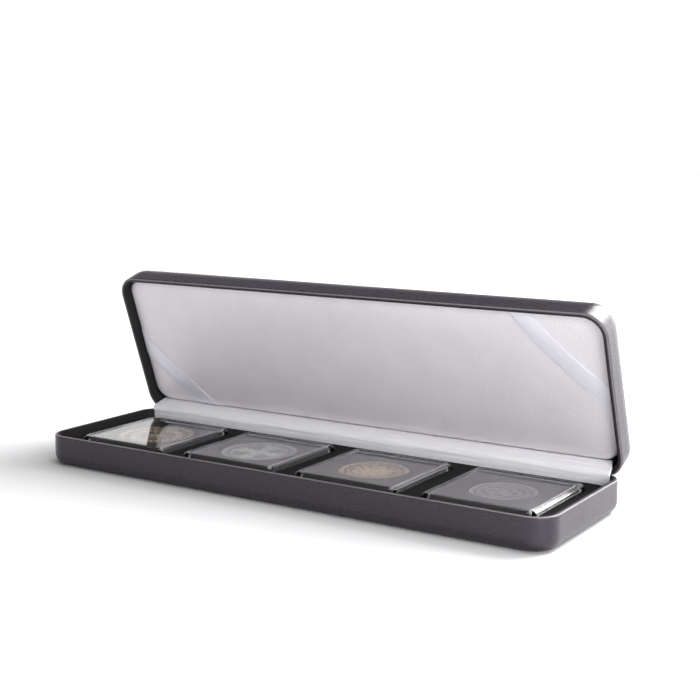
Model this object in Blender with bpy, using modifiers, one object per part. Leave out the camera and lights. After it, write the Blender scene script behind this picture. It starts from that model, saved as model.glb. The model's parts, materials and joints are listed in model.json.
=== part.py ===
"""Hinged leatherette presentation case that holds four square coin capsules in a row.

The origin is the middle of the case's underside. +X runs along the hinge, +Y points to the hinge
side and +Z is up. The lid is modelled shut, measured from its hinge axis, and its parent empty
then swings it open. Lengths are in metres.
"""
import math

import bmesh
import bpy

# The whole case
CASE_LENGTH = 0.2560
CASE_WIDTH = 0.0760
CORNER_RADIUS = 0.0105
BASE_HEIGHT = 0.0140
BASE_EDGE_RADIUS = 0.0050
LID_HEIGHT = 0.0180
LID_EDGE_RADIUS = 0.0100
SHUT_GAP = 0.00035
OPEN_ANGLE = math.radians(70.5)
CORNER_SEGMENTS = 7
EDGE_SEGMENTS = 6

# The wall, from the outside in: leatherette, steel and the leatherette's turned-in edge
GAP = 0.0003
COVER_THICKNESS = 0.0005
STEEL_THICKNESS = 0.0006
STEEL_INSET = COVER_THICKNESS + GAP
RIM_WIDTH = 2 * COVER_THICKNESS + 2 * GAP + STEEL_THICKNESS
RIM_RADIUS = 0.0007
TURN_IN_DEPTH = 0.0060

# The hinge: its axis, and the notch that clears the back walls while the lid swings
HINGE_INSET = 0.0020
HINGE_DROP = 0.0005
HINGE_Y = CASE_WIDTH / 2 - HINGE_INSET
HINGE_Z = BASE_HEIGHT - HINGE_DROP
NOTCH_HALF_LENGTH = 0.1232
NOTCH_BELOW_AXIS = 0.0016
NOTCH_ABOVE_AXIS = 0.0017
NOTCH_DEPTH = 0.0070
KNUCKLE_COUNT = 7
KNUCKLE_RADIUS = 0.0013
KNUCKLE_BORE = 0.00085
KNUCKLE_GAP = 0.0004
HINGE_LENGTH = 0.2380
TAB_REACH = 0.0050
TAB_INSET = 0.00005
PIN_RADIUS = 0.00055
SPRING_WIDTH = 0.0180
SPRING_THICKNESS = 0.0003
SPRING_OFFSET = 0.0680

# The insert in the base
INSERT_TOP = 0.0100
INSERT_FLOOR_UNDERSIDE = 0.00415
INSERT_FRONT = -(CASE_WIDTH / 2 - RIM_WIDTH - GAP)
INSERT_BACK = 0.0332
INSERT_HALF_LENGTH = CASE_LENGTH / 2 - RIM_WIDTH - GAP
INSERT_CORNER = 0.0080
INSERT_MID_Y = (INSERT_FRONT + INSERT_BACK) / 2
RECESS_SIDE = 0.0512
RECESS_CORNER = 0.0027
RECESS_FLOOR = 0.00595
RISER_SIZE = (0.2460, 0.0630, 0.0021)
RISER_CORNER = 0.0075
RISER_UNDERSIDE = 0.00175

# A capsule: two clear halves, a foam insert and a coin
CAPSULE_COUNT = 4
CAPSULE_PITCH = 0.0612
CAPSULE_SIDE = 0.0500
CAPSULE_CORNER = 0.0025
CAPSULE_UNDERSIDE = RECESS_FLOOR + GAP
CAPSULE_SPLIT = 0.0100
CAPSULE_TOP = 0.0125
CAPSULE_SKIN = 0.0013
CAPSULE_WALL = 0.0018
CAPSULE_EDGE = 0.0006
LIP_OUTER = CAPSULE_SIDE - 2 * CAPSULE_WALL - 2 * GAP
LIP_WALL = 0.0008
LIP_DROP = 0.0010
FOAM_SIDE = LIP_OUTER - 2 * LIP_WALL - 2 * GAP
FOAM_CORNER = 0.0015
FOAM_UNDERSIDE = CAPSULE_UNDERSIDE + CAPSULE_SKIN + GAP
FOAM_TOP = 0.0108
COIN_DIAMETERS = (0.0355, 0.0345, 0.0305, 0.0280)
COIN_COLOURS = ((0.45, 0.33, 0.17), (0.62, 0.62, 0.63), (0.55, 0.36, 0.22), (0.30, 0.29, 0.30))
COIN_CLEARANCE = 0.0003
COIN_THICKNESS = 0.0022
COIN_RIM_WIDTH = 0.0013
COIN_FIELD_DROP = 0.0002
COIN_EDGE_RADIUS = 0.00012
COIN_SEGMENTS = 32

# The lining of the lid, as depths below the lid's rim
LINING_FACE = 0.0033
LINING_DEPTH = 0.0041
LINING_HALF_LENGTH = 0.1255
LINING_FRONT = -0.0355
LINING_BACK = 0.0322
LINING_CORNER = 0.0080
LINING_EDGE = 0.0015
SATIN_THICKNESS = 0.0003
FOAM_SHEET_THICKNESS = 0.0018
BOARD_THICKNESS = 0.0012
RIBBON_THICKNESS = 0.00035
RIBBON_INNER_X = 0.1254
RIBBON_INNER_FRONT = -0.0354
RIBBON_INNER_BACK = 0.0320
RIGHT_RIBBON = (
    (0.0830, RIBBON_INNER_FRONT),
    (0.0936, RIBBON_INNER_FRONT),
    (RIBBON_INNER_X, -0.0034),
    (RIBBON_INNER_X, 0.0068),
)
LEFT_RIBBON = (
    (-RIBBON_INNER_X, -0.0070),
    (-RIBBON_INNER_X, 0.0045),
    (-0.0965, RIBBON_INNER_BACK),
    (-0.0853, RIBBON_INNER_BACK),
)

# The gusset: down behind the insert, round the front of the hinge, and up behind the lining
GUSSET_THICKNESS = 0.0004
GUSSET_RADIUS = 0.0023
GUSSET_HALF_LENGTH = 0.1225
GUSSET_BOTTOM = 0.0094
GUSSET_END = (0.0029, 0.0041)
GUSSET_TUCK = 0.0012
GUSSET_SEGMENTS = 6

SMOOTH_ANGLE = math.radians(32)

CASE = bpy.data.collections.new("coin_capsule_case")
CUTTERS = bpy.data.collections.new("cutters")


# ---------------------------------------------------------------- materials


def principled(name, colour, roughness, metallic=0.0, transmission=0.0):
    """A Principled BSDF material."""
    material = bpy.data.materials.new(name)
    material.use_nodes = True
    shader = material.node_tree.nodes["Principled BSDF"]
    shader.inputs["Base Color"].default_value = (*colour, 1.0)
    shader.inputs["Roughness"].default_value = roughness
    shader.inputs["Metallic"].default_value = metallic
    shader.inputs["Transmission Weight"].default_value = transmission
    material.diffuse_color = (*colour, 1.0)
    return material


def leatherette():
    return principled("charcoal_leatherette", (0.035, 0.034, 0.038), 0.42)


def steel():
    return principled("pressed_steel", (0.30, 0.30, 0.31), 0.35, metallic=1.0)


def spring_steel():
    return principled("spring_steel", (0.22, 0.23, 0.27), 0.28, metallic=1.0)


def flock():
    return principled("black_flock", (0.012, 0.012, 0.013), 0.95)


def satin():
    return principled("silver_white_satin", (0.78, 0.78, 0.82), 0.38)


def card():
    return principled("grey_card", (0.42, 0.40, 0.37), 0.90)


def lining_foam():
    return principled("white_foam", (0.85, 0.85, 0.82), 0.90)


def capsule_foam():
    return principled("black_foam", (0.02, 0.02, 0.022), 0.85)


def clear_plastic():
    return principled("clear_plastic", (0.93, 0.94, 0.95), 0.05, transmission=1.0)


# ---------------------------------------------------------------- modelling helpers


def add_mesh(name, mesh, material, parent=None, cutter=False):
    """A new object from a bmesh, shaded smooth except over its sharp edges."""
    data = bpy.data.meshes.new(name)
    mesh.to_mesh(data)
    mesh.free()
    data.shade_smooth()
    data.set_sharp_from_angle(angle=SMOOTH_ANGLE)
    obj = bpy.data.objects.new(name, data)
    obj.parent = parent
    if cutter:
        CUTTERS.objects.link(obj)
        obj.hide_render = True
        obj.display_type = "WIRE"
    else:
        CASE.objects.link(obj)
        data.materials.append(material)
    return obj


def rounded_block(size, middle, low, corner=0.0, edge=0.0, segments=4):
    """A closed block whose upright corners have the radius `corner`.

    Its underside is at the height `low`. `edge` rounds the edges of its underside.
    """
    mesh = bmesh.new()
    bmesh.ops.create_cube(mesh, size=1.0)
    bmesh.ops.scale(mesh, vec=size, verts=mesh.verts)
    bmesh.ops.translate(mesh, vec=(*middle, low + size[2] / 2), verts=mesh.verts)
    if corner:
        upright = [e for e in mesh.edges if abs(e.verts[0].co.z - e.verts[1].co.z) > size[2] / 2]
        bmesh.ops.bevel(
            mesh, geom=upright, offset=corner, segments=segments, profile=0.5, affect="EDGES"
        )
    if edge:
        bevel_level(mesh, low, edge, max(2, segments // 2))
    return mesh


def bevel_level(mesh, height, radius, segments):
    """Round the edges that lie level at `height`."""
    level = [e for e in mesh.edges if all(abs(v.co.z - height) < GAP / 10 for v in e.verts)]
    bmesh.ops.bevel(
        mesh, geom=level, offset=radius, segments=segments, profile=0.5, affect="EDGES"
    )


def highest_face(mesh):
    return max(mesh.faces, key=lambda face: face.calc_center_median().z)


def tub(length, width, height, corner, edge):
    """A block with round upright corners and a round lower edge, the form of a pressed tray."""
    mesh = rounded_block((length, width, height), (0.0, 0.0), 0.0, corner, 0.0, CORNER_SEGMENTS)
    bevel_level(mesh, 0.0, edge, EDGE_SEGMENTS)
    return mesh


def fold_rim(mesh, height):
    """Carry a tub's surface inwards over its rim and down inside the wall, and leave it open."""
    top = highest_face(mesh)
    bmesh.ops.inset_region(mesh, faces=[top], thickness=RIM_WIDTH, use_even_offset=True)
    sunk = bmesh.ops.extrude_discrete_faces(mesh, faces=[top])["faces"]
    bmesh.ops.translate(mesh, vec=(0.0, 0.0, -TURN_IN_DEPTH), verts=sunk[0].verts)
    bmesh.ops.delete(mesh, geom=sunk, context="FACES")
    bevel_level(mesh, height, RIM_RADIUS, 2)


def open_top(mesh):
    bmesh.ops.delete(mesh, geom=[highest_face(mesh)], context="FACES")


def thicken(obj, thickness):
    """Give an open surface its wall, on the side away from its normals."""
    solid = obj.modifiers.new("wall", "SOLIDIFY")
    solid.thickness = thickness
    solid.offset = -1.0
    solid.use_even_offset = True


def square_cutter(name, side, middle, low, high, corner):
    mesh = rounded_block((side, side, high - low), middle, low, corner)
    return add_mesh(name, mesh, None, cutter=True)


def combine(obj, other, operation):
    """Cut or join `obj` with a hidden body."""
    boolean = obj.modifiers.new(other.name, "BOOLEAN")
    boolean.object = other
    boolean.operation = operation
    boolean.solver = "EXACT"


def turn_over(mesh, height):
    """Turn a tub over, so that its opening faces down and its rim is at `height`."""
    top = max(vert.co.z for vert in mesh.verts)
    for vert in mesh.verts:
        vert.co.y = -vert.co.y
        vert.co.z = height + top - vert.co.z


def from_axis(mesh):
    """Measure a part of the shut lid from the hinge axis."""
    bmesh.ops.translate(mesh, vec=(0.0, -HINGE_Y, -HINGE_Z), verts=mesh.verts)


# ---------------------------------------------------------------- the two walls


def knuckle_spans(first):
    """The stretches of the hinge that every second knuckle takes, from knuckle `first`."""
    step = (HINGE_LENGTH + KNUCKLE_GAP) / KNUCKLE_COUNT
    starts = [-HINGE_LENGTH / 2 + step * i for i in range(first, KNUCKLE_COUNT, 2)]
    return [(start, start + step - KNUCKLE_GAP) for start in starts]


def blocks_along(spans, low_y, high_y, low_z, high_z):
    """One block for each span along X, all of the same section."""
    mesh = bmesh.new()
    for start, end in spans:
        made = bmesh.ops.create_cube(mesh, size=1.0)["verts"]
        size = (end - start, high_y - low_y, high_z - low_z)
        middle = ((start + end) / 2, (low_y + high_y) / 2, (low_z + high_z) / 2)
        bmesh.ops.scale(mesh, vec=size, verts=made)
        bmesh.ops.translate(mesh, vec=middle, verts=made)
    return mesh


def rods_along(spans, y, z, radius, segments):
    """One round rod for each span along X."""
    mesh = bmesh.new()
    for start, end in spans:
        made = bmesh.ops.create_cone(
            mesh,
            cap_ends=True,
            segments=segments,
            radius1=radius,
            radius2=radius,
            depth=end - start,
        )["verts"]
        for vert in made:
            vert.co = ((start + end) / 2 + vert.co.z, y + vert.co.y, z - vert.co.x)
    return mesh


def cut_hinge_notch(obj, side, parent=None):
    """Cut the back wall down beside the hinge; `side` is 1 for the lid and -1 for the base."""
    near = NOTCH_ABOVE_AXIS if side > 0 else NOTCH_BELOW_AXIS
    low, high = sorted((-side * 2 * NOTCH_DEPTH / 3, side * near))
    base_y = 0.0 if parent else HINGE_Y
    base_z = 0.0 if parent else HINGE_Z
    span = [(-NOTCH_HALF_LENGTH, NOTCH_HALF_LENGTH)]
    mesh = blocks_along(
        span, base_y - NOTCH_DEPTH, base_y + NOTCH_DEPTH, base_z + low, base_z + high
    )
    cutter = add_mesh(obj.name + "_notch", mesh, None, parent, cutter=True)
    combine(obj, cutter, "DIFFERENCE")


def add_knuckles(shell, side, parent=None):
    """Roll hinge knuckles from a shell's back wall: tabs, barrels on the axis, and one bore."""
    base_y = 0.0 if parent else HINGE_Y
    base_z = 0.0 if parent else HINGE_Z
    spans = knuckle_spans(1 if side > 0 else 0)
    wall_outside = base_y + HINGE_INSET - STEEL_INSET
    wall_inside = wall_outside - STEEL_THICKNESS
    low, high = sorted((0.0, side * TAB_REACH))
    tabs = blocks_along(
        spans, wall_inside + TAB_INSET, wall_outside - TAB_INSET, base_z + low, base_z + high
    )
    barrels = rods_along(spans, base_y, base_z, KNUCKLE_RADIUS, 16)
    bore = rods_along([(-HINGE_LENGTH, HINGE_LENGTH)], base_y, base_z, KNUCKLE_BORE, 16)
    for name, mesh, operation in (
        ("_tabs", tabs, "UNION"),
        ("_barrels", barrels, "UNION"),
        ("_bore", bore, "DIFFERENCE"),
    ):
        combine(shell, add_mesh(shell.name + name, mesh, None, parent, cutter=True), operation)


def cover_mesh(height, edge):
    """The outside skin of one half of the case, turned over the rim."""
    mesh = tub(CASE_LENGTH, CASE_WIDTH, height, CORNER_RADIUS, edge)
    fold_rim(mesh, height)
    return mesh


def shell_mesh(height, edge):
    """The pressed steel tray inside one half's skin, its outer face only."""
    mesh = tub(
        CASE_LENGTH - 2 * STEEL_INSET,
        CASE_WIDTH - 2 * STEEL_INSET,
        height - 2 * STEEL_INSET,
        CORNER_RADIUS - STEEL_INSET,
        edge - STEEL_INSET,
    )
    open_top(mesh)
    return mesh


def make_base_walls():
    mesh = cover_mesh(BASE_HEIGHT, BASE_EDGE_RADIUS)
    cover = add_mesh("base_cover", mesh, leatherette())
    thicken(cover, COVER_THICKNESS)
    cut_hinge_notch(cover, -1)

    mesh = shell_mesh(BASE_HEIGHT, BASE_EDGE_RADIUS)
    bmesh.ops.translate(mesh, vec=(0.0, 0.0, STEEL_INSET), verts=mesh.verts)
    shell = add_mesh("base_shell", mesh, steel())
    thicken(shell, STEEL_THICKNESS)
    cut_hinge_notch(shell, -1)
    add_knuckles(shell, -1)


def make_lid_walls(swing):
    rim = BASE_HEIGHT + SHUT_GAP
    mesh = cover_mesh(LID_HEIGHT, LID_EDGE_RADIUS)
    turn_over(mesh, rim)
    from_axis(mesh)
    cover = add_mesh("lid_cover", mesh, leatherette(), swing)
    thicken(cover, COVER_THICKNESS)
    cut_hinge_notch(cover, 1, swing)

    mesh = shell_mesh(LID_HEIGHT, LID_EDGE_RADIUS)
    turn_over(mesh, rim + STEEL_INSET)
    from_axis(mesh)
    shell = add_mesh("lid_shell", mesh, steel(), swing)
    thicken(shell, STEEL_THICKNESS)
    cut_hinge_notch(shell, 1, swing)
    add_knuckles(shell, 1, swing)


# ---------------------------------------------------------------- hinge, springs and gusset


def strip_along_x(name, profile, half_length, middle_x, thickness, material):
    """A bent strip: an open profile in the YZ plane, drawn out along X and thickened."""
    mesh = bmesh.new()
    verts = [mesh.verts.new((middle_x - half_length, y, z)) for y, z in profile]
    edges = [mesh.edges.new(pair) for pair in zip(verts, verts[1:])]
    drawn = bmesh.ops.extrude_edge_only(mesh, edges=edges)["geom"]
    moved = [item for item in drawn if isinstance(item, bmesh.types.BMVert)]
    bmesh.ops.translate(mesh, vec=(2 * half_length, 0.0, 0.0), verts=moved)
    bmesh.ops.recalc_face_normals(mesh, faces=mesh.faces)
    strip = add_mesh(name, mesh, material)
    thicken(strip, thickness)
    strip.modifiers["wall"].offset = 0.0
    return strip


def make_hinge_pin():
    half = HINGE_LENGTH / 2 + PIN_RADIUS
    mesh = rods_along([(-half, half)], HINGE_Y, HINGE_Z, PIN_RADIUS, 12)
    add_mesh("hinge_pin", mesh, steel())


def make_snap_springs():
    """Leaf springs between the insert and the back wall, with tips curled under the knuckles."""
    leaf_y = CASE_WIDTH / 2 - RIM_WIDTH - 1.5 * GAP
    profile = [
        (leaf_y - 0.0010, 0.0034),
        (leaf_y, 0.0038),
        (leaf_y, 0.0102),
        (leaf_y - 0.0002, 0.0110),
        (leaf_y + 0.0002, 0.0116),
    ]
    for side, name in ((-1, "snap_spring_left"), (1, "snap_spring_right")):
        strip_along_x(
            name, profile, SPRING_WIDTH / 2, side * SPRING_OFFSET, SPRING_THICKNESS, spring_steel()
        )


def gusset_profile():
    """Straight up behind the insert, an arc about the hinge axis, then a tangent to the lining.

    The lining's edge is given by its distance behind and above the axis, and the arc ends where
    the line from that point touches the circle.
    """
    end_y, end_z = GUSSET_END
    reach = math.hypot(end_y, end_z)
    last = math.atan2(end_z, end_y) + math.acos(GUSSET_RADIUS / reach)
    profile = [(HINGE_Y - GUSSET_RADIUS, GUSSET_BOTTOM)]
    for i in range(GUSSET_SEGMENTS + 1):
        angle = math.pi + (last - math.pi) * i / GUSSET_SEGMENTS
        y = HINGE_Y + GUSSET_RADIUS * math.cos(angle)
        z = HINGE_Z + GUSSET_RADIUS * math.sin(angle)
        profile.append((y, z))
    touch_y, touch_z = profile[-1]
    straight = math.hypot(HINGE_Y + end_y - touch_y, HINGE_Z + end_z - touch_z)
    share = 1 + GUSSET_TUCK / straight
    end = (
        touch_y + share * (HINGE_Y + end_y - touch_y),
        touch_z + share * (HINGE_Z + end_z - touch_z),
    )
    return profile + [end]


def make_gusset():
    strip_along_x(
        "hinge_gusset", gusset_profile(), GUSSET_HALF_LENGTH, 0.0, GUSSET_THICKNESS, satin()
    )


# ---------------------------------------------------------------- the insert


def capsule_middles():
    first = -CAPSULE_PITCH * (CAPSULE_COUNT - 1) / 2
    return [(first + CAPSULE_PITCH * i, INSERT_MID_Y) for i in range(CAPSULE_COUNT)]


def insert_layer(name, low, high, material):
    """One flat layer of the insert, over the whole inside of the base."""
    size = (2 * INSERT_HALF_LENGTH, INSERT_BACK - INSERT_FRONT, high - low)
    mesh = rounded_block(size, (0.0, INSERT_MID_Y), low, INSERT_CORNER, segments=6)
    return add_mesh(name, mesh, material)


def make_insert():
    insert_layer("insert_floor", INSERT_FLOOR_UNDERSIDE, RECESS_FLOOR, flock())
    frame = insert_layer("insert_frame", RECESS_FLOOR + GAP, INSERT_TOP, flock())
    for index, middle in enumerate(capsule_middles(), start=1):
        opening = square_cutter(
            f"recess_{index}", RECESS_SIDE, middle, RECESS_FLOOR, 2 * INSERT_TOP, RECESS_CORNER
        )
        combine(frame, opening, "DIFFERENCE")
    mesh = rounded_block(RISER_SIZE, (0.0, INSERT_MID_Y), RISER_UNDERSIDE, RISER_CORNER)
    add_mesh("insert_riser", mesh, card())


# ---------------------------------------------------------------- the capsules


def make_capsule_base(index, middle):
    size = (CAPSULE_SIDE, CAPSULE_SIDE, CAPSULE_SPLIT - CAPSULE_UNDERSIDE)
    mesh = rounded_block(size, middle, CAPSULE_UNDERSIDE, CAPSULE_CORNER, CAPSULE_EDGE)
    base = add_mesh(f"capsule_base_{index}", mesh, clear_plastic())
    inside = CAPSULE_SIDE - 2 * CAPSULE_WALL
    floor = CAPSULE_UNDERSIDE + CAPSULE_SKIN
    pocket = square_cutter(
        f"capsule_pocket_{index}", inside, middle, floor, CAPSULE_TOP, FOAM_CORNER
    )
    combine(base, pocket, "DIFFERENCE")


def make_capsule_lid(index, middle):
    """The upper half: a plate with rounded top edges and a lip that fits inside the lower half."""
    low = CAPSULE_SPLIT + GAP
    size = (CAPSULE_SIDE, CAPSULE_SIDE, CAPSULE_TOP - low)
    mesh = rounded_block(size, middle, low, CAPSULE_CORNER)
    bevel_level(mesh, CAPSULE_TOP, CAPSULE_EDGE, 3)
    lid = add_mesh(f"capsule_lid_{index}", mesh, clear_plastic())
    plate_underside = CAPSULE_TOP - CAPSULE_SKIN
    lip = square_cutter(
        f"capsule_lip_{index}", LIP_OUTER, middle, low - LIP_DROP, low + LIP_DROP / 2, FOAM_CORNER
    )
    combine(lid, lip, "UNION")
    inside = LIP_OUTER - 2 * LIP_WALL
    hollow = square_cutter(
        f"capsule_hollow_{index}", inside, middle, low - 2 * LIP_DROP, plate_underside, FOAM_CORNER
    )
    combine(lid, hollow, "DIFFERENCE")


def make_capsule_foam(index, middle, coin_diameter):
    size = (FOAM_SIDE, FOAM_SIDE, FOAM_TOP - FOAM_UNDERSIDE)
    mesh = rounded_block(size, middle, FOAM_UNDERSIDE, FOAM_CORNER)
    foam = add_mesh(f"capsule_foam_{index}", mesh, capsule_foam())
    radius = coin_diameter / 2 + COIN_CLEARANCE
    mesh = bmesh.new()
    bmesh.ops.create_cone(
        mesh,
        cap_ends=True,
        segments=COIN_SEGMENTS,
        radius1=radius,
        radius2=radius,
        depth=CAPSULE_TOP,
    )
    bmesh.ops.translate(mesh, vec=(*middle, FOAM_UNDERSIDE), verts=mesh.verts)
    combine(foam, add_mesh(f"coin_hole_{index}", mesh, None, cutter=True), "DIFFERENCE")


def make_coin(index, middle, diameter, colour):
    """A struck coin, turned from its profile: raised rims and slightly sunk fields."""
    radius = diameter / 2
    high = COIN_THICKNESS / 2
    field = high - COIN_FIELD_DROP
    upper = [
        (0.0, field),
        (radius - COIN_RIM_WIDTH, field),
        (radius - COIN_RIM_WIDTH + COIN_FIELD_DROP, high),
        (radius - COIN_EDGE_RADIUS, high),
        (radius, high - COIN_EDGE_RADIUS),
    ]
    profile = upper + [(x, -z) for x, z in reversed(upper)]
    mesh = bmesh.new()
    verts = [mesh.verts.new((x, 0.0, z)) for x, z in profile]
    for pair in zip(verts, verts[1:]):
        mesh.edges.new(pair)
    coin = add_mesh(f"coin_{index}", mesh, principled(f"coin_metal_{index}", colour, 0.35, 1.0))
    coin.location = (*middle, FOAM_UNDERSIDE + high)
    screw = coin.modifiers.new("turned", "SCREW")
    screw.steps = COIN_SEGMENTS
    screw.render_steps = COIN_SEGMENTS
    screw.use_merge_vertices = True
    screw.merge_threshold = COIN_EDGE_RADIUS / 10


def make_capsules():
    coins = zip(capsule_middles(), COIN_DIAMETERS, COIN_COLOURS)
    for index, (middle, diameter, colour) in enumerate(coins, start=1):
        make_capsule_base(index, middle)
        make_capsule_foam(index, middle, diameter)
        make_capsule_lid(index, middle)
        make_coin(index, middle, diameter, colour)


# ---------------------------------------------------------------- the lid's lining


def lining_block(half_length, front, back, depth, thickness, corner, edge=0.0):
    """A block of the lining in the shut lid, `depth` above the lid's rim, from the hinge axis."""
    size = (2 * half_length, back - front, thickness)
    low = BASE_HEIGHT + SHUT_GAP + depth
    mesh = rounded_block(size, (0.0, (front + back) / 2), low, corner, edge, segments=5)
    from_axis(mesh)
    return mesh


def make_lining(swing):
    mesh = lining_block(
        LINING_HALF_LENGTH,
        LINING_FRONT,
        LINING_BACK,
        LINING_FACE,
        LINING_DEPTH,
        LINING_CORNER,
        LINING_EDGE,
    )
    open_top(mesh)
    thicken(add_mesh("lid_satin", mesh, satin(), swing), SATIN_THICKNESS)
    inset = SATIN_THICKNESS + GAP
    layers = (
        ("lid_foam", FOAM_SHEET_THICKNESS, LINING_EDGE - inset, lining_foam()),
        ("lid_board", BOARD_THICKNESS, 0.0, card()),
    )
    depth = LINING_FACE + inset
    for name, thickness, edge, material in layers:
        mesh = lining_block(
            LINING_HALF_LENGTH - inset,
            LINING_FRONT + inset,
            LINING_BACK - inset,
            depth,
            thickness,
            LINING_CORNER - inset,
            edge,
        )
        add_mesh(name, mesh, material, swing)
        depth += thickness + GAP


def make_ribbon(name, outline, swing):
    """A flat ribbon across a corner of the lining, just clear of its face."""
    curve = bpy.data.curves.new(name, "CURVE")
    curve.dimensions = "2D"
    curve.fill_mode = "BOTH"
    curve.extrude = RIBBON_THICKNESS / 2
    spline = curve.splines.new("POLY")
    spline.points.add(len(outline) - 1)
    for point, (x, y) in zip(spline.points, outline):
        point.co = (x, y, 0.0, 1.0)
    spline.use_cyclic_u = True
    ribbon = bpy.data.objects.new(name, curve)
    CASE.objects.link(ribbon)
    curve.materials.append(satin())
    ribbon.parent = swing
    depth = LINING_FACE - GAP - RIBBON_THICKNESS / 2
    ribbon.location = (0.0, -HINGE_Y, BASE_HEIGHT + SHUT_GAP + depth - HINGE_Z)


def make_lid():
    """The lid, its lining and its ribbons, on an empty that lies on the hinge axis."""
    swing = bpy.data.objects.new("lid_swing", None)
    CASE.objects.link(swing)
    swing.location = (0.0, HINGE_Y, HINGE_Z)
    swing.rotation_euler.x = -OPEN_ANGLE
    make_lid_walls(swing)
    make_lining(swing)
    make_ribbon("ribbon_left", LEFT_RIBBON, swing)
    make_ribbon("ribbon_right", RIGHT_RIBBON, swing)


def main():
    for obj in list(bpy.data.objects):
        bpy.data.objects.remove(obj, do_unlink=True)
    for collection in (CASE, CUTTERS):
        bpy.context.scene.collection.children.link(collection)
    make_base_walls()
    make_insert()
    make_hinge_pin()
    make_snap_springs()
    make_gusset()
    make_capsules()
    make_lid()


main()
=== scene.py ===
"""Looks of a hinged, leatherette-covered case that holds four square coin capsules.

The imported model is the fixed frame. Every visible piece is a surface worked out with numpy over
two parameters, placed from the frame's own boxes and hinge. The lid's pieces are worked out in
the shut lid, where its rim lies level, and then swung to where they are at rest. Lengths are in
metres.
"""

from __future__ import annotations

import json
import logging
import math
from dataclasses import dataclass, field
from enum import Enum
from typing import Sequence

import bmesh
import bpy
import numpy as np
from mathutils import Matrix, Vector

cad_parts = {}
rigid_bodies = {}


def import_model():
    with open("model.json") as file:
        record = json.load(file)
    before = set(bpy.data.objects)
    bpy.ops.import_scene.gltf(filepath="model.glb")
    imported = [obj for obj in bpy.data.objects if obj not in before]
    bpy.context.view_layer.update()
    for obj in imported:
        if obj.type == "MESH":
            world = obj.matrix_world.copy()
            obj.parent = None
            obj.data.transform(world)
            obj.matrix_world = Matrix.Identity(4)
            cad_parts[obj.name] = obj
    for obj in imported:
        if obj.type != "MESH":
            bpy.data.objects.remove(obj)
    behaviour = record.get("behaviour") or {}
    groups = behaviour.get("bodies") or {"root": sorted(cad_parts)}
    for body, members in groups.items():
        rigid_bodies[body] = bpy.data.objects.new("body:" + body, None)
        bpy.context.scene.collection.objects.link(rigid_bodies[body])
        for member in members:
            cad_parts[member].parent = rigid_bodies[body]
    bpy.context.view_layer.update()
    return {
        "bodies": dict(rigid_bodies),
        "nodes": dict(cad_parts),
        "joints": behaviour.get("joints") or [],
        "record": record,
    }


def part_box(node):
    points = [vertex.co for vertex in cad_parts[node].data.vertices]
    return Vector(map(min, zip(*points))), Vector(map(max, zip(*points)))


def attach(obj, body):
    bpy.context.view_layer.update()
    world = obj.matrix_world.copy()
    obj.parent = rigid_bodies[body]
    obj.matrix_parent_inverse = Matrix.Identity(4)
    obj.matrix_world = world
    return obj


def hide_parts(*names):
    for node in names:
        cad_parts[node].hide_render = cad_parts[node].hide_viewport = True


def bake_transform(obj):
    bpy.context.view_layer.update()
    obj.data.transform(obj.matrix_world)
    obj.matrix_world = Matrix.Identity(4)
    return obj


LOG = logging.getLogger("coin_case")
MM = 0.001
WELD = 2e-6
SMOOTH_ANGLE = math.radians(38)
LID_HEIGHT = 18.0 * MM
SHUT_GAP = 0.35 * MM


# ---------------------------------------------------------------- meshes


@dataclass
class Patch:
    """A grid of points with a flat position for each, both of shape (rows, columns, ...)."""

    points: np.ndarray
    flat: np.ndarray
    mark: np.ndarray | None = None


def weave_object(
    name: str, patches: Sequence[Patch], smooth: float = SMOOTH_ANGLE
) -> bpy.types.Object:
    """Turn grids into one welded mesh object at the origin.

    Each grid cell becomes a quad. Points closer than WELD are joined, so grids that share a
    border become one surface, and a row that shrinks to a line or a point closes it.

    Args:
        name: The object's name.
        patches: The grids.
        smooth: Faces that meet at less than this angle are shaded as one.

    Returns:
        The object, with its normals outwards.
    """
    starts = np.cumsum([0] + [p.points.shape[0] * p.points.shape[1] for p in patches])
    verts = np.concatenate([p.points.reshape(-1, 3) for p in patches])
    flat = np.concatenate([p.flat.reshape(-1, 2) for p in patches])
    faces = []
    for start, patch in zip(starts, patches):
        rows, cols = patch.points.shape[:2]
        index = start + np.arange(rows * cols).reshape(rows, cols)
        quads = [index[:-1, :-1], index[:-1, 1:], index[1:, 1:], index[1:, :-1]]
        faces.append(np.stack(quads, axis=-1).reshape(-1, 4))
    faces = np.concatenate(faces)
    mesh = bpy.data.meshes.new(name)
    mesh.from_pydata(verts.tolist(), [], faces.tolist())
    layer = mesh.uv_layers.new(name="flat")
    layer.data.foreach_set("uv", flat[faces.ravel()].astype(np.float32).ravel())
    if patches[0].mark is not None:
        mark = np.concatenate([p.mark.ravel() for p in patches]).astype(np.float32)
        mesh.attributes.new("mark", "FLOAT", "POINT").data.foreach_set("value", mark)
    form = bmesh.new()
    form.from_mesh(mesh)
    bmesh.ops.remove_doubles(form, verts=form.verts, dist=WELD)
    bmesh.ops.recalc_face_normals(form, faces=form.faces)
    form.to_mesh(mesh)
    form.free()
    mesh.shade_smooth()
    mesh.set_sharp_from_angle(angle=smooth)
    piece = bpy.data.objects.new(name, mesh)
    bpy.context.scene.collection.objects.link(piece)
    return piece


def dress(piece: bpy.types.Object, material: bpy.types.Material) -> None:
    """Give a piece its only material."""
    piece.data.materials.clear()
    piece.data.materials.append(material)


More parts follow.
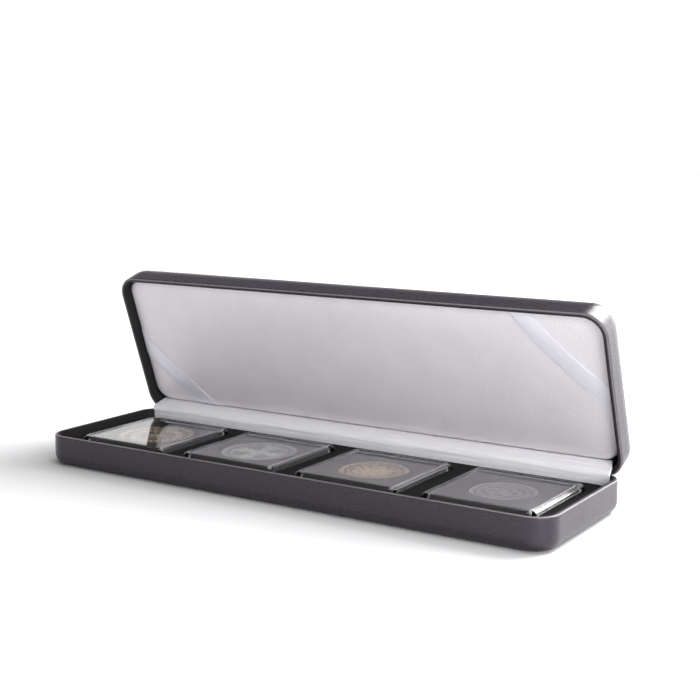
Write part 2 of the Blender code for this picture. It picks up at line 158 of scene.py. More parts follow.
def fillet(corners: Sequence[tuple[float, float, float]], steps: int = 4) -> np.ndarray:
    """Round the corners of a broken line.

    At a corner of radius r, the line is cut back by r / tan(half the corner's angle) on both
    sides and the two cuts are joined by an arc, drawn as a quadratic curve through the corner.

    Args:
        corners: (across, up, radius) of each corner; the ends keep theirs at 0.
        steps: Points on each arc, less one.

    Returns:
        The line's points, of shape (n, 2).
    """
    line = np.array(corners)[:, :2]
    found = [line[0]]
    for before, here, after, radius in zip(line, line[1:], line[2:], np.array(corners)[1:-1, 2]):
        to, away = before - here, after - here
        long_to, long_away = np.linalg.norm(to), np.linalg.norm(away)
        to, away = to / long_to, away / long_away
        half = math.acos(float(np.clip(to @ away, -1, 1))) / 2
        cut = min(radius / math.tan(half), 0.49 * long_to, 0.49 * long_away)
        t = np.linspace(0, 1, steps + 1)[:, None]
        a, b = here + to * cut, here + away * cut
        found.extend((1 - t) ** 2 * a + 2 * t * (1 - t) * here + t * t * b)
    found.append(line[-1])
    return np.array(found)


def ease(t: np.ndarray) -> np.ndarray:
    """The smooth step 3t^2 - 2t^3, with t held between 0 and 1."""
    t = np.clip(t, 0, 1)
    return t * t * (3 - 2 * t)


def ripple(x: np.ndarray, y: np.ndarray, seed: float, length: float) -> np.ndarray:
    """A smooth wandering of about -1 to 1: the mean of four crossed sine waves."""
    total = np.zeros(np.broadcast(x, y).shape)
    for i in range(4):
        turn = seed + 2.4 * i
        k = 2 * math.pi / (length * (1 + 0.37 * i))
        total = total + np.sin(k * (x * math.cos(turn) + y * math.sin(turn)) + 5 * turn)
    return total / 4


@dataclass(frozen=True)
class Outline:
    """A rectangle with round corners, walked once round through fixed stations.

    A station is a share of the way along each half side, (ax, ay), and an outward direction,
    (nx, ny). Its point is (ax (hx - r) + nx r, ay (hy - r) + ny r), for half sides hx and hy and
    the corner radius r, so that every ring of an outline has the same stations.
    """

    half_x: float
    half_y: float
    corner: float
    middle: tuple[float, float] = (0.0, 0.0)
    corner_steps: int = 14
    long_steps: int = 60
    short_steps: int = 20
    extra_angles: tuple[float, ...] = ()

    def stations(self) -> tuple[np.ndarray, np.ndarray]:
        """The shares and directions, each of shape (n, 2); the last repeats the first."""
        shares, ways = [], []
        signs = ((1, 1), (-1, 1), (-1, -1), (1, -1))
        for quarter, (sx, sy) in enumerate(signs):
            turned = np.linspace(0, math.pi / 2, self.corner_steps + 1)
            # the extra angles are measured from the +Y or -Y direction
            from_x = [math.pi / 2 - a if sx * sy > 0 else a for a in self.extra_angles]
            turned = np.unique(np.round(np.concatenate([turned, from_x]), 9))
            angle = quarter * math.pi / 2 + turned
            ways.append(np.stack([np.cos(angle), np.sin(angle)], axis=1))
            shares.append(np.tile([float(sx), float(sy)], (len(angle), 1)))
            steps = self.long_steps if quarter % 2 == 0 else self.short_steps
            t = np.linspace(0, 1, steps + 1)[1:-1, None]
            after = signs[(quarter + 1) % 4]
            shares.append((1 - t) * np.array([sx, sy]) + t * np.array(after))
            ways.append(np.tile(ways[-1][-1], (len(t), 1)))
        shares.append(shares[0][:1])
        ways.append(ways[0][:1])
        return np.concatenate(shares), np.concatenate(ways)

    def rings(
        self, inset: np.ndarray, corner: np.ndarray | None = None, shrink: np.ndarray | None = None
    ) -> tuple[np.ndarray, np.ndarray]:
        """Rings inside the outline.

        Args:
            inset: How far inside the outline each ring lies.
            corner: Each ring's corner radius; by default what keeps the rings parallel, which
                falls smoothly to nothing: r exp(-inset / r) once it is inside.
            shrink: From 0 to 1, how far each ring is drawn in to the outline's middle line.

        Returns:
            The points, of shape (rings, n, 2), and the outward directions, of shape (n, 2).
        """
        inset = np.asarray(inset, float)[:, None]
        if corner is None:
            r = np.where(inset > 0, self.corner * np.exp(-inset / self.corner), self.corner - inset)
        else:
            r = np.asarray(corner, float)[:, None]
        shares, ways = self.stations()
        x = shares[:, 0] * (self.half_x - inset - r) + ways[:, 0] * r
        y = shares[:, 1] * (self.half_y - inset - r) + ways[:, 1] * r
        if shrink is not None:
            w = np.asarray(shrink, float)[:, None]
            spare = max(self.half_x - self.half_y, 0.0)
            x = (1 - w) * x + w * np.clip(x, -spare, spare)
            y = (1 - w) * y
        points = np.stack([x + self.middle[0], y + self.middle[1]], axis=-1)
        return points, ways


# ---------------------------------------------------------------- finishes


class Graph:
    """A material's node tree, with short calls that add and join nodes."""

    def __init__(self, name: str) -> None:
        """Start a material with only a Principled shader and its output."""
        self.material = bpy.data.materials.new(name)
        self.material.use_nodes = True
        self.tree = self.material.node_tree
        self.shader = self.tree.nodes["Principled BSDF"]

    def node(self, kind: str, settings: dict | None = None, **inputs: object) -> bpy.types.Node:
        """Add a node.

        Args:
            kind: The node's type, without the ShaderNode prefix.
            settings: Properties of the node.
            **inputs: Values or sockets for its inputs, with _ for a space in a name.

        Returns:
            The node.
        """
        made = self.tree.nodes.new("ShaderNode" + kind)
        for key, value in (settings or {}).items():
            setattr(made, key, value)
        for key, value in inputs.items():
            self.feed(made.inputs[key.replace("_", " ")], value)
        return made

    def feed(self, socket: bpy.types.NodeSocket, value: object) -> None:
        """Join a socket to another, or set its value."""
        if isinstance(value, bpy.types.NodeSocket):
            self.tree.links.new(value, socket)
        elif isinstance(value, tuple) and len(value) == 3 and socket.type == "RGBA":
            socket.default_value = (*value, 1.0)
        else:
            socket.default_value = value

    def set(self, **inputs: object) -> None:
        """Set or join inputs of the Principled shader, with _ for a space in a name."""
        for key, value in inputs.items():
            self.feed(self.shader.inputs[key.replace("_", " ")], value)

    def flat(self, across: float, along: float) -> bpy.types.NodeSocket:
        """The piece's flat position, scaled by numbers of repeats per metre."""
        where = self.node("UVMap", {"uv_map": "flat"}).outputs[0]
        return self.node("Mapping", Vector=where, Scale=(across, along, 1.0)).outputs[0]

    def space(self, scale: float) -> bpy.types.NodeSocket:
        """The object's own coordinates, scaled."""
        where = self.node("TexCoord").outputs["Object"]
        return self.node("Mapping", Vector=where, Scale=(scale, scale, scale)).outputs[0]

    def noise(
        self, where: bpy.types.NodeSocket, detail: float = 2.0, rough: float = 0.5
    ) -> bpy.types.NodeSocket:
        """Cloudy noise of one repeat per unit, from about 0.3 to 0.7."""
        made = self.node("TexNoise", Vector=where, Scale=1.0, Detail=detail, Roughness=rough)
        return made.outputs["Fac"]

    def spread(
        self, value: bpy.types.NodeSocket, low: float, high: float, to_low: float, to_high: float
    ) -> bpy.types.NodeSocket:
        """Map a number from one range to another, held inside the second."""
        made = self.node(
            "MapRange",
            Value=value,
            From_Min=low,
            From_Max=high,
            To_Min=to_low,
            To_Max=to_high,
        )
        return made.outputs[0]

    def blend(self, share: object, a: object, b: object) -> bpy.types.NodeSocket:
        """A colour between a and b."""
        made = self.node("Mix", {"data_type": "RGBA"})
        self.feed(made.inputs[0], share)
        self.feed(made.inputs[6], a)
        self.feed(made.inputs[7], b)
        return made.outputs[2]

    def math(self, operation: str, a: object, b: object = 0.0) -> bpy.types.NodeSocket:
        """One sum on two numbers."""
        made = self.node("Math", {"operation": operation})
        self.feed(made.inputs[0], a)
        self.feed(made.inputs[1], b)
        return made.outputs[0]

    def bump(
        self,
        height: bpy.types.NodeSocket,
        depth: float,
        strength: float = 1.0,
        under: object = None,
    ) -> bpy.types.NodeSocket:
        """A bumped normal; `depth` is the height of a rise of 1 in metres."""
        made = self.node("Bump", Height=height, Distance=depth, Strength=strength)
        if under is not None:
            self.feed(made.inputs["Normal"], under)
        return made.outputs[0]


@dataclass(frozen=True)
class Leatherette:
    """Embossed charcoal leatherette: fine lines along the case, a soft grain, a painted highlight
    on the fold.
    """

    colour: tuple[float, float, float] = (0.0150, 0.0100, 0.0170)
    light: tuple[float, float, float] = (0.0230, 0.0160, 0.0260)
    # light grey painted along the rim's fold as a highlight, broken up like wear
    worn: tuple[float, float, float] = (0.26, 0.24, 0.24)
    inside: tuple[float, float, float] = (0.0055, 0.0035, 0.0055)
    roughness: tuple[float, float] = (0.22, 0.38)

    def material(self) -> bpy.types.Material:
        """The node material."""
        g = Graph("charcoal_leatherette")
        lines = g.noise(g.flat(260.0, 2400.0), 4.0, 0.65)
        fine = g.noise(g.flat(500.0, 5200.0), 2.0, 0.6)
        grain = g.noise(g.flat(2600.0, 2600.0), 3.0, 0.65)
        cloud = g.noise(g.flat(35.0, 35.0), 2.0, 0.5)
        tone = g.math("MULTIPLY", g.spread(lines, 0.35, 0.65, 0.0, 1.0), 0.6)
        tone = g.math("ADD", tone, g.spread(cloud, 0.35, 0.65, 0.0, 0.4))
        body = g.blend(tone, self.colour, self.light)
        fold = g.node("Attribute", {"attribute_name": "mark"}).outputs["Fac"]
        # painted highlight: a light line along the rim's fold, broken up by the grain
        fold_highlight = g.math("MULTIPLY", fold, g.spread(grain, 0.35, 0.6, 0.35, 1.0))
        turned_in = g.math("MULTIPLY", fold, -1.0)
        body = g.blend(g.spread(turned_in, 0.0, 1.0, 0.0, 1.0), body, self.inside)
        g.set(Base_Color=g.blend(g.spread(fold_highlight, 0.0, 1.0, 0.0, 1.0), body, self.worn))
        gloss = g.spread(lines, 0.3, 0.7, *self.roughness)
        g.set(Roughness=g.math("ADD", gloss, g.spread(turned_in, 0.0, 1.0, 0.0, 0.5)))
        under = g.bump(grain, 0.00005, 0.4)
        under = g.bump(fine, 0.00004, 0.5, under)
        g.set(Normal=g.bump(lines, 0.00011, 0.42, under))
        g.set(Specular_IOR_Level=0.5)
        return g.material


@dataclass(frozen=True)
class Satin:
    """Silvery white satin: a fine weave, faint slubs and a soft sheen."""

    name: str
    colour: tuple[float, float, float]
    shade: tuple[float, float, float]
    roughness: float
    threads: float
    sheen: float
    turned: bool = False

    def material(self) -> bpy.types.Material:
        """The node material."""
        g = Graph(self.name)
        along, across = (5.0, 1.0) if self.turned else (1.0, 5.0)
        weave = g.noise(g.flat(self.threads * along, self.threads * across), 2.0, 0.6)
        speck = g.noise(g.flat(2.2 * self.threads, 2.2 * self.threads), 2.0, 0.7)
        cloud = g.noise(g.flat(60.0, 60.0), 3.0, 0.6)
        tone = g.math("MULTIPLY", g.spread(weave, 0.34, 0.66, 0.0, 1.0), 0.40)
        tone = g.math("ADD", tone, g.spread(speck, 0.36, 0.64, 0.0, 0.5))
        tone = g.math("ADD", tone, g.spread(cloud, 0.3, 0.7, 0.0, 0.1))
        g.set(Base_Color=g.blend(tone, self.shade, self.colour))
        g.set(Roughness=g.spread(speck, 0.3, 0.7, self.roughness - 0.06, self.roughness + 0.08))
        under = g.bump(speck, 0.00012, 0.6)
        g.set(Normal=g.bump(weave, 0.00010, 0.5, under))
        g.set(Metallic=self.sheen, Sheen_Weight=0.2, Sheen_Roughness=0.35, Specular_IOR_Level=0.45)
        return g.material


@dataclass(frozen=True)
class Flock:
    """Black flocking: a dense nap with scattered lint."""

    colour: tuple[float, float, float] = (0.0035, 0.003, 0.004)
    tip: tuple[float, float, float] = (0.015, 0.0135, 0.016)
    lint: tuple[float, float, float] = (0.16, 0.15, 0.155)

    def material(self) -> bpy.types.Material:
        """The node material."""
        g = Graph("black_flock")
        nap = g.noise(g.space(5200.0), 3.0, 0.7)
        patchy = g.noise(g.space(260.0), 3.0, 0.6)
        speck = g.noise(g.space(3100.0), 1.0, 0.4)
        tone = g.math(
            "MULTIPLY", g.spread(nap, 0.4, 0.65, 0.0, 1.0), g.spread(patchy, 0.3, 0.7, 0.4, 1.0)
        )
        lint = g.spread(speck, 0.70, 0.76, 0.0, 0.9)
        g.set(Base_Color=g.blend(lint, g.blend(tone, self.colour, self.tip), self.lint))
        g.set(Normal=g.bump(nap, 0.00025, 0.9))
        g.set(Roughness=0.95, Specular_IOR_Level=0.06, Sheen_Weight=0.02, Sheen_Roughness=0.5)
        return g.material


@dataclass(frozen=True)
class ClearPlastic:
    """Clear moulded plastic with faint haze and hairline scuffs."""

    tint: tuple[float, float, float] = (0.965, 0.965, 0.97)

    def material(self) -> bpy.types.Material:
        """The node material."""
        g = Graph("clear_plastic")
        haze = g.noise(g.space(55.0), 3.0, 0.6)
        scuff = g.noise(
            g.node("Mapping", Vector=g.space(1.0), Scale=(2400.0, 180.0, 600.0)).outputs[0],
            2.0,
            0.6,
        )
        rough = g.math(
            "ADD", g.spread(haze, 0.4, 0.7, 0.0, 0.02), g.spread(scuff, 0.68, 0.76, 0.0, 0.10)
        )
        g.set(Roughness=rough)
        g.set(Base_Color=self.tint, Transmission_Weight=1.0, IOR=1.49, Specular_IOR_Level=0.13)
        return g.material


@dataclass(frozen=True)
class Foam:
    """Closed-cell foam: small pits all over."""

    name: str
    colour: tuple[float, float, float]
    pit: tuple[float, float, float]

    def material(self) -> bpy.types.Material:
        """The node material."""
        g = Graph(self.name)
        cells = g.node("TexVoronoi", Vector=g.space(3200.0), Scale=1.0).outputs["Distance"]
        cloud = g.noise(g.space(160.0), 3.0, 0.6)
        tone = g.math(
            "MULTIPLY", g.spread(cells, 0.0, 0.6, 1.0, 0.3), g.spread(cloud, 0.3, 0.7, 0.7, 1.0)
        )
        g.set(Base_Color=g.blend(tone, self.pit, self.colour))
        g.set(Normal=g.bump(cells, 0.00008, 0.6))
        g.set(Roughness=0.72, Specular_IOR_Level=0.35)
        return g.material


@dataclass(frozen=True)
class Card:
    """Grey pulp card with fibres."""

    colour: tuple[float, float, float] = (0.40, 0.37, 0.33)
    fibre: tuple[float, float, float] = (0.52, 0.49, 0.45)

    def material(self) -> bpy.types.Material:
        """The node material."""
        g = Graph("grey_card")
        fibres = g.noise(g.space(1400.0), 4.0, 0.7)
        g.set(Base_Color=g.blend(g.spread(fibres, 0.35, 0.65, 0.0, 1.0), self.colour, self.fibre))
        g.set(Roughness=0.9, Normal=g.bump(fibres, 0.00005, 0.5))
        return g.material


@dataclass(frozen=True)
class Metal:
    """Plain metal with fine drawn lines and dull stains."""

    name: str
    colour: tuple[float, float, float]
    stain: tuple[float, float, float]
    roughness: float

    def material(self) -> bpy.types.Material:
        """The node material."""
        g = Graph(self.name)
        drawn = g.noise(
            g.node("Mapping", Vector=g.space(1.0), Scale=(300.0, 5000.0, 5000.0)).outputs[0],
            2.0,
            0.5,
        )
        stain = g.noise(g.space(420.0), 3.0, 0.6)
        g.set(Base_Color=g.blend(g.spread(stain, 0.4, 0.65, 0.0, 1.0), self.colour, self.stain))
        g.set(Roughness=g.spread(drawn, 0.3, 0.7, self.roughness - 0.08, self.roughness + 0.12))
        g.set(Metallic=1.0, Normal=g.bump(drawn, 0.00002, 0.4))
        return g.material


@dataclass(frozen=True)
class CoinMetal:
    """Struck metal: bright high points, tarnish in the hollows and a mottled patina."""

    name: str
    bright: tuple[float, float, float]
    tarnish: tuple[float, float, float]
    patina: tuple[float, float, float]
    roughness: tuple[float, float]

    def material(self) -> bpy.types.Material:
        """The node material."""
        g = Graph(self.name)
        height = g.node("Attribute", {"attribute_name": "mark"}).outputs["Fac"]
        mottle = g.noise(g.space(520.0), 4.0, 0.7)
        wear = g.noise(g.space(2600.0), 2.0, 0.6)
        raised = g.math(
            "ADD", g.spread(height, 0.1, 0.55, 0.0, 0.9), g.spread(wear, 0.38, 0.62, -0.25, 0.5)
        )
        body = g.blend(raised, self.tarnish, self.bright)
        g.set(Base_Color=g.blend(g.spread(mottle, 0.45, 0.68, 0.0, 0.35), body, self.patina))
        g.set(Roughness=g.spread(mottle, 0.3, 0.7, *self.roughness))
        pits = g.bump(g.noise(g.space(1300.0), 3.0, 0.7), 0.0015, 1.0)
        g.set(Metallic=0.8, Normal=g.bump(wear, 0.00006, 0.6, pits))
        return g.material


# ---------------------------------------------------------------- the frame's places


@dataclass(frozen=True)
class Swing:
    """The lid's turn about the hinge, from shut to where it stands at rest."""

    y: float
    z: float
    angle: float

    @classmethod
    def of(cls, joints: Sequence[dict]) -> "Swing":
        """Read the hinge from the frame's joints; the shut limit is the turn's size."""
        hinge = next(j for j in joints if j["name"] == "lid_hinge")
        angle = math.radians(max(abs(limit) for limit in hinge["range_deg"]))
        return cls(hinge["pos_m"][1], hinge["pos_m"][2], angle)

    def open(self, points: np.ndarray) -> np.ndarray:
        """Turn points of the shut lid about the axis: (y, z) to (y c + z s, z c - y s)."""
        c, s = math.cos(self.angle), math.sin(self.angle)
        y, z = points[..., 1] - self.y, points[..., 2] - self.z
        return np.stack([points[..., 0], self.y + y * c + z * s, self.z + z * c - y * s], axis=-1)


# ---------------------------------------------------------------- the two covers


@dataclass
class Cover:
    """The leatherette skin of one half of the case, turned over the rim and down inside it.

    The skin is worked out with its opening up and its closed face at height 0.
    """

    node: str
    body: str
    length: float
    width: float
    height: float
    edge_across: float
    edge_up: float
    crown: float
    notch_drop: float
    seed: float
    corner: float = 10.5 * MM
    thickness: float = 0.5 * MM
    rim_width: float = 2.2 * MM
    rim_radius: float = 0.55 * MM
    turn_in: float = 6.0 * MM
    notch_half: float = 123.2 * MM
    notch_ease: float = math.radians(2.5)
    sway: float = 0.05 * MM
    cap_rows: int = 14

    def notch_angle(self) -> float:
        """Where the notch ends in the back corners, as an angle from +Y."""
        return math.asin((self.notch_half - (self.length / 2 - self.corner)) / self.corner)

    def profile(self) -> np.ndarray:
        """The section from the closed face's edge, over the rim, to the turned-in edge.

        It is a quarter of a superellipse of exponent 2.2 for the soft edge, a straight wall, two
        quarter circles over the rim and a straight stretch down inside.

        Returns:
            (inset, height) of each point, of shape (n, 2).
        """
        t = np.linspace(0, math.pi / 2, 15)
        power = 2 / 2.2
        soft = np.stack(
            [
                self.edge_across * (1 - np.sin(t) ** power),
                self.crown + (self.edge_up - self.crown) * (1 - np.cos(t) ** power),
            ],
            axis=1,
        )
        r, w, top = self.rim_radius, self.rim_width, self.height
        wall = np.stack([np.zeros(9), np.linspace(self.edge_up, top - r, 10)[1:]], axis=1)
        q = np.linspace(0, math.pi / 2, 6)[1:]
        over = np.stack([r - r * np.cos(q), top - r + r * np.sin(q)], axis=1)
        back = np.stack([w - r + r * np.sin(q), top - r + r * np.cos(q)], axis=1)
        level = np.array([[w - r, top]])
        down = np.linspace(top - r, top - self.turn_in, 8)[1:]
        inside = np.stack([np.full(7, w), down], axis=1)
        return np.concatenate([soft, wall, over, level, back, inside])

    def surface(self) -> Patch:
        """The closed skin: its outer side out from the middle line, then its inner side back."""
        line = self.profile()
        step = np.gradient(line, axis=0)
        away = np.stack([step[:, 1], -step[:, 0]], axis=1)
        away = away / np.linalg.norm(away, axis=1, keepdims=True)
        inner = (line + away * self.thickness)[::-1]
        share = np.linspace(1, 0, self.cap_rows + 1)[:-1]
        outer_cap = np.tile([self.edge_across, self.crown], (len(share), 1))
        inner_cap = outer_cap[::-1] + np.array([0.0, self.thickness])
        rows = np.concatenate([outer_cap, line, inner, inner_cap])
        none = np.zeros(2 * len(line))
        shrink = np.concatenate([share, none, share[::-1]])
        angle = self.notch_angle()
        spread = self.notch_ease / 2
        outline = Outline(
            self.length / 2,
            self.width / 2,
            self.corner,
            extra_angles=tuple(angle + spread * k for k in (-1.0, -0.6, -0.2, 0.2, 0.6, 1.0)),
            long_steps=90,
            short_steps=28,
        )
        rings, ways = outline.rings(rows[:, 0], shrink=shrink)
        height = np.repeat(rows[:, 1:], rings.shape[1], axis=1)
        height = height - self.bulge(rings) * (shrink[:, None] > 0)
        height = self.lower_notch(ways, height)
        points = np.concatenate([rings, height[..., None]], axis=-1)
        points = points + self.wander(points, ways, rows)
        return Patch(
            points, self.spread_flat(rings, ways, rows, shrink), self.fold_mark(rows, rings)
        )

    def bulge(self, rings: np.ndarray) -> np.ndarray:
        """The closed face's swell: crown (1 - (x / X)^2) (1 - (y / Y)^2), nothing at its edge."""
        across = self.length / 2 - self.edge_across, self.width / 2 - self.edge_across
        fall = 1 - np.minimum((rings / np.array(across)) ** 2, 1)
        return self.crown * fall[..., 0] * fall[..., 1]

    def lower_notch(self, ways: np.ndarray, height: np.ndarray) -> np.ndarray:
        """Bring the rim down along the hinge, all of it at the top and none at the soft edge."""
        from_back = np.arctan2(np.abs(ways[:, 0]), ways[:, 1])
        on_back = ease(0.5 - (from_back - self.notch_angle()) / self.notch_ease)
        low = self.height - self.turn_in
        share = ease((height - low) / (self.turn_in - 2 * self.rim_radius))
        return height - self.notch_drop * on_back[None, :] * share

    def wander(self, points: np.ndarray, ways: np.ndarray, rows: np.ndarray) -> np.ndarray:
        """Small uneven swells of the wall, as of a skin glued over steel."""
        swell = ripple(points[..., 0] + points[..., 1], points[..., 2], self.seed, 0.031)
        on_wall = ease((self.edge_across - rows[:, :1]) / self.edge_across)
        amount = self.sway * swell * on_wall
        sideways = amount[..., None] * ways[None, :, :]
        return np.concatenate([sideways, np.zeros_like(amount)[..., None]], axis=-1)

    def spread_flat(
        self, rings: np.ndarray, ways: np.ndarray, rows: np.ndarray, shrink: np.ndarray
    ) -> np.ndarray:
        """Lay the skin out flat, as it was cut: the wall folds straight out from its edge."""
        run = np.linalg.norm(np.diff(rows, axis=0, prepend=rows[:1]), axis=1)
        edge = self.cap_rows
        beyond = np.cumsum(run) - np.cumsum(run)[edge]
        back = len(rows) - 1 - np.arange(len(rows))
        beyond = np.where(np.arange(len(rows)) < len(rows) // 2, beyond, beyond[back])
        beyond = np.where(shrink > 0, 0.0, beyond)
        base = rings[edge][None]
        laid = base + ways[None] * beyond[:, None, None]
        return np.where(shrink[:, None, None] > 0, rings, laid)

    def fold_mark(self, rows: np.ndarray, rings: np.ndarray) -> np.ndarray:
        """Where the fold's highlight is painted: 1 along the rim's fold, and down to -1 where it is
        turned in.
        """
        r = self.rim_radius
        near = np.hypot(rows[:, 0] - 0.7 * r, rows[:, 1] - self.height)
        # painted highlight: a narrow band along the rim's fold
        worn = np.exp(-((near / (0.28 * MM)) ** 2))
        inside = ease((rows[:, 0] - 0.9 * r) / (0.9 * r)) * (
            rows[:, 1] > self.height - 1.2 * self.turn_in
        )
        worn = np.where(inside > 0, np.minimum(worn, 1) - inside, worn)
        worn[len(rows) // 2 :] = -1
        return np.repeat(worn[:, None], rings.shape[1], axis=1)

    def build(self, place: "Placement", material: bpy.types.Material) -> bpy.types.Object:
        """Make the skin, put it in its place and tie it to the frame."""
        patch = self.surface()
        patch.points = place.put(patch.points)
        piece = weave_object(self.node + "_skin", [patch])
        dress(piece, material)
        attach(piece, self.body)
        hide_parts(self.node)
        return piece


@dataclass(frozen=True)
class Placement:
    """Puts points worked out for a half of the case where that half is at rest."""

    swing: Swing | None = None
    closed_face: float = 0.0

    def put(self, points: np.ndarray) -> np.ndarray:
        """Leave the base's points alone; turn the lid's over and swing them open."""
        if self.swing is None:
            return points
        over = points * np.array([1.0, 1.0, -1.0]) + np.array([0.0, 0.0, self.closed_face])
        return self.swing.open(over)


# ---------------------------------------------------------------- the insert


def cast(
    angle: np.ndarray,
    left: float,
    right: float,
    half_y: float,
    round_left: float,
    round_right: float,
) -> tuple[np.ndarray, np.ndarray]:
    """Where rays from the middle leave a rectangle with its own corner radii at each end.

    A ray leaves through the nearer of a side and an end. In a corner it goes on to the corner's
    circle, of centre C and radius r, at the distance d.C + sqrt((d.C)^2 - C.C + r^2).

    Args:
        angle: The rays' directions.
        left: Distance to the left end.
        right: Distance to the right end.
        half_y: Distance to either side.
        round_left: Corner radius at the left end.
        round_right: Corner radius at the right end.

    Returns:
        The points and the outward normals there, each of shape (n, 2).
    """
    way = np.stack([np.cos(angle), np.sin(angle)], axis=1)
    end = np.where(way[:, 0] > 0, right, left)
    radius = np.where(way[:, 0] > 0, round_right, round_left)
    far = np.minimum(
        end / np.maximum(np.abs(way[:, 0]), 1e-9), half_y / np.maximum(np.abs(way[:, 1]), 1e-9)
    )
    points = way * far[:, None]
    through_end = np.abs(np.abs(points[:, 0]) - end) < 1e-9
    sign = np.sign(way)
    normal = np.where(through_end[:, None], sign * [1, 0], sign * [0, 1])
    centre = sign * np.stack([end - radius, half_y - radius], axis=1)
    cornered = (radius > 0) & np.all(np.abs(points) > np.abs(centre) + 1e-12, axis=1)
    dot = np.sum(way * centre, axis=1)
    inside = np.maximum(dot**2 - np.sum(centre**2, axis=1) + radius**2, 0)
    on_arc = way * (dot + np.sqrt(inside))[:, None]
    turned = (on_arc - centre) / np.maximum(radius, 1e-9)[:, None]
    points = np.where(cornered[:, None], on_arc, points)
    normal = np.where(cornered[:, None], turned, normal)
    return points, normal


@dataclass
class InsertFrame:
    """The flocked frame of the insert, with a square opening for each capsule.

    It is made in cells, one round each opening, which share the straight lines between them.
    """

    low: Vector
    high: Vector
    capsules: list[tuple[float, float]]
    opening: float = 51.2 * MM
    opening_corner: float = 2.7 * MM
    corner: float = 8.0 * MM
    round_over: float = 0.6 * MM
    angles: int = 132

    def cell_angles(self, left: float, right: float, half_y: float) -> np.ndarray:
        """Directions round a cell, with its corners and the opening's corners among them."""
        corners = [math.atan2(half_y, x) for x in (left, right)]
        half = self.opening / 2
        arc = [
            math.atan2(half, half - self.opening_corner),
            math.atan2(half - self.opening_corner, half),
        ]
        arc = [*arc, math.pi / 4]
        first = np.array([*corners, *arc, *np.linspace(0, math.pi / 2, self.angles // 4 + 1)])
        quarter = np.unique(np.round(first, 7))
        both = np.concatenate([quarter, math.pi - quarter])
        return np.unique(np.round(np.concatenate([both, -both, [math.pi, -math.pi]]), 7))

    def cell(self, index: int) -> list[Patch]:
        """The patches of one cell: round the opening, and down the insert's own edges."""
        x0, y0 = self.capsules[index]
        pitch = self.capsules[1][0] - self.capsules[0][0]
        first, last = index == 0, index == len(self.capsules) - 1
        left = x0 - self.low.x if first else pitch / 2
        right = self.high.x - x0 if last else pitch / 2
        half_y = (self.high.y - self.low.y) / 2
        r = self.round_over
        angle = self.cell_angles(left, right, half_y)
        half = self.opening / 2
        ring, out = cast(angle, half, half, half, self.opening_corner, self.opening_corner)
        far_left, far_right = left - r * first, right - r * last
        round_left, round_right = (self.corner - r) * first, (self.corner - r) * last
        top, _ = cast(angle, far_left, far_right, half_y - r, round_left, round_right)
        edge, normal = cast(angle, left, right, half_y, self.corner * first, self.corner * last)
        outer = (np.abs(normal[:, 1]) > 1e-6) | (first & (normal[:, 0] < 0)) | (
            last & (normal[:, 0] > 0)
        )
        edge = np.where(outer[:, None], edge, top)
        q = np.linspace(0, math.pi / 2, 6)
        bend, up = r * (1 - np.cos(q)), self.high.z - r + r * np.sin(q)
        rows = [(edge, self.low.z), (ring, self.low.z)]
        rows += [(ring + out * b, z) for b, z in zip(bend, up)]
        rows += [(ring + (top - ring) * k, self.high.z) for k in (0.3, 0.65, 1.0)]
        grid = self.stack(rows, x0, y0)
        patches = [Patch(grid, grid[..., :2])]
        walls = [(edge + (top - edge) * (b / r), z) for b, z in zip(bend, up)] + [
            (edge, self.low.z)
        ]
        wall = self.stack([(top, self.high.z), *walls[:-1][::-1][1:], walls[-1]], x0, y0)
        runs = np.flatnonzero(np.diff(np.concatenate([[0], outer.astype(int), [0]])))
        for start, stop in zip(runs[::2], runs[1::2]):
            part = wall[:, max(start - 1, 0) : stop + 1]
            patches.append(Patch(part, part[..., :2]))
        return patches

    def stack(self, rows: Sequence[tuple[np.ndarray, float]], x0: float, y0: float) -> np.ndarray:
        """Rows of plan points at their heights, moved to the cell's middle."""
        plan = np.stack([row for row, _ in rows]) + np.array([x0, y0])
        height = np.array([z for _, z in rows])[:, None, None]
        return np.concatenate([plan, np.broadcast_to(height, (*plan.shape[:2], 1))], axis=-1)

    def build(self, material: bpy.types.Material) -> bpy.types.Object:
        """Make the frame from its cells."""
        patches = [p for i in range(len(self.capsules)) for p in self.cell(i)]
        piece = weave_object("insert_frame_flock", patches)
        dress(piece, material)
        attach(piece, "base")
        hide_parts("insert_frame")
        return piece


# ---------------------------------------------------------------- the lid's lining


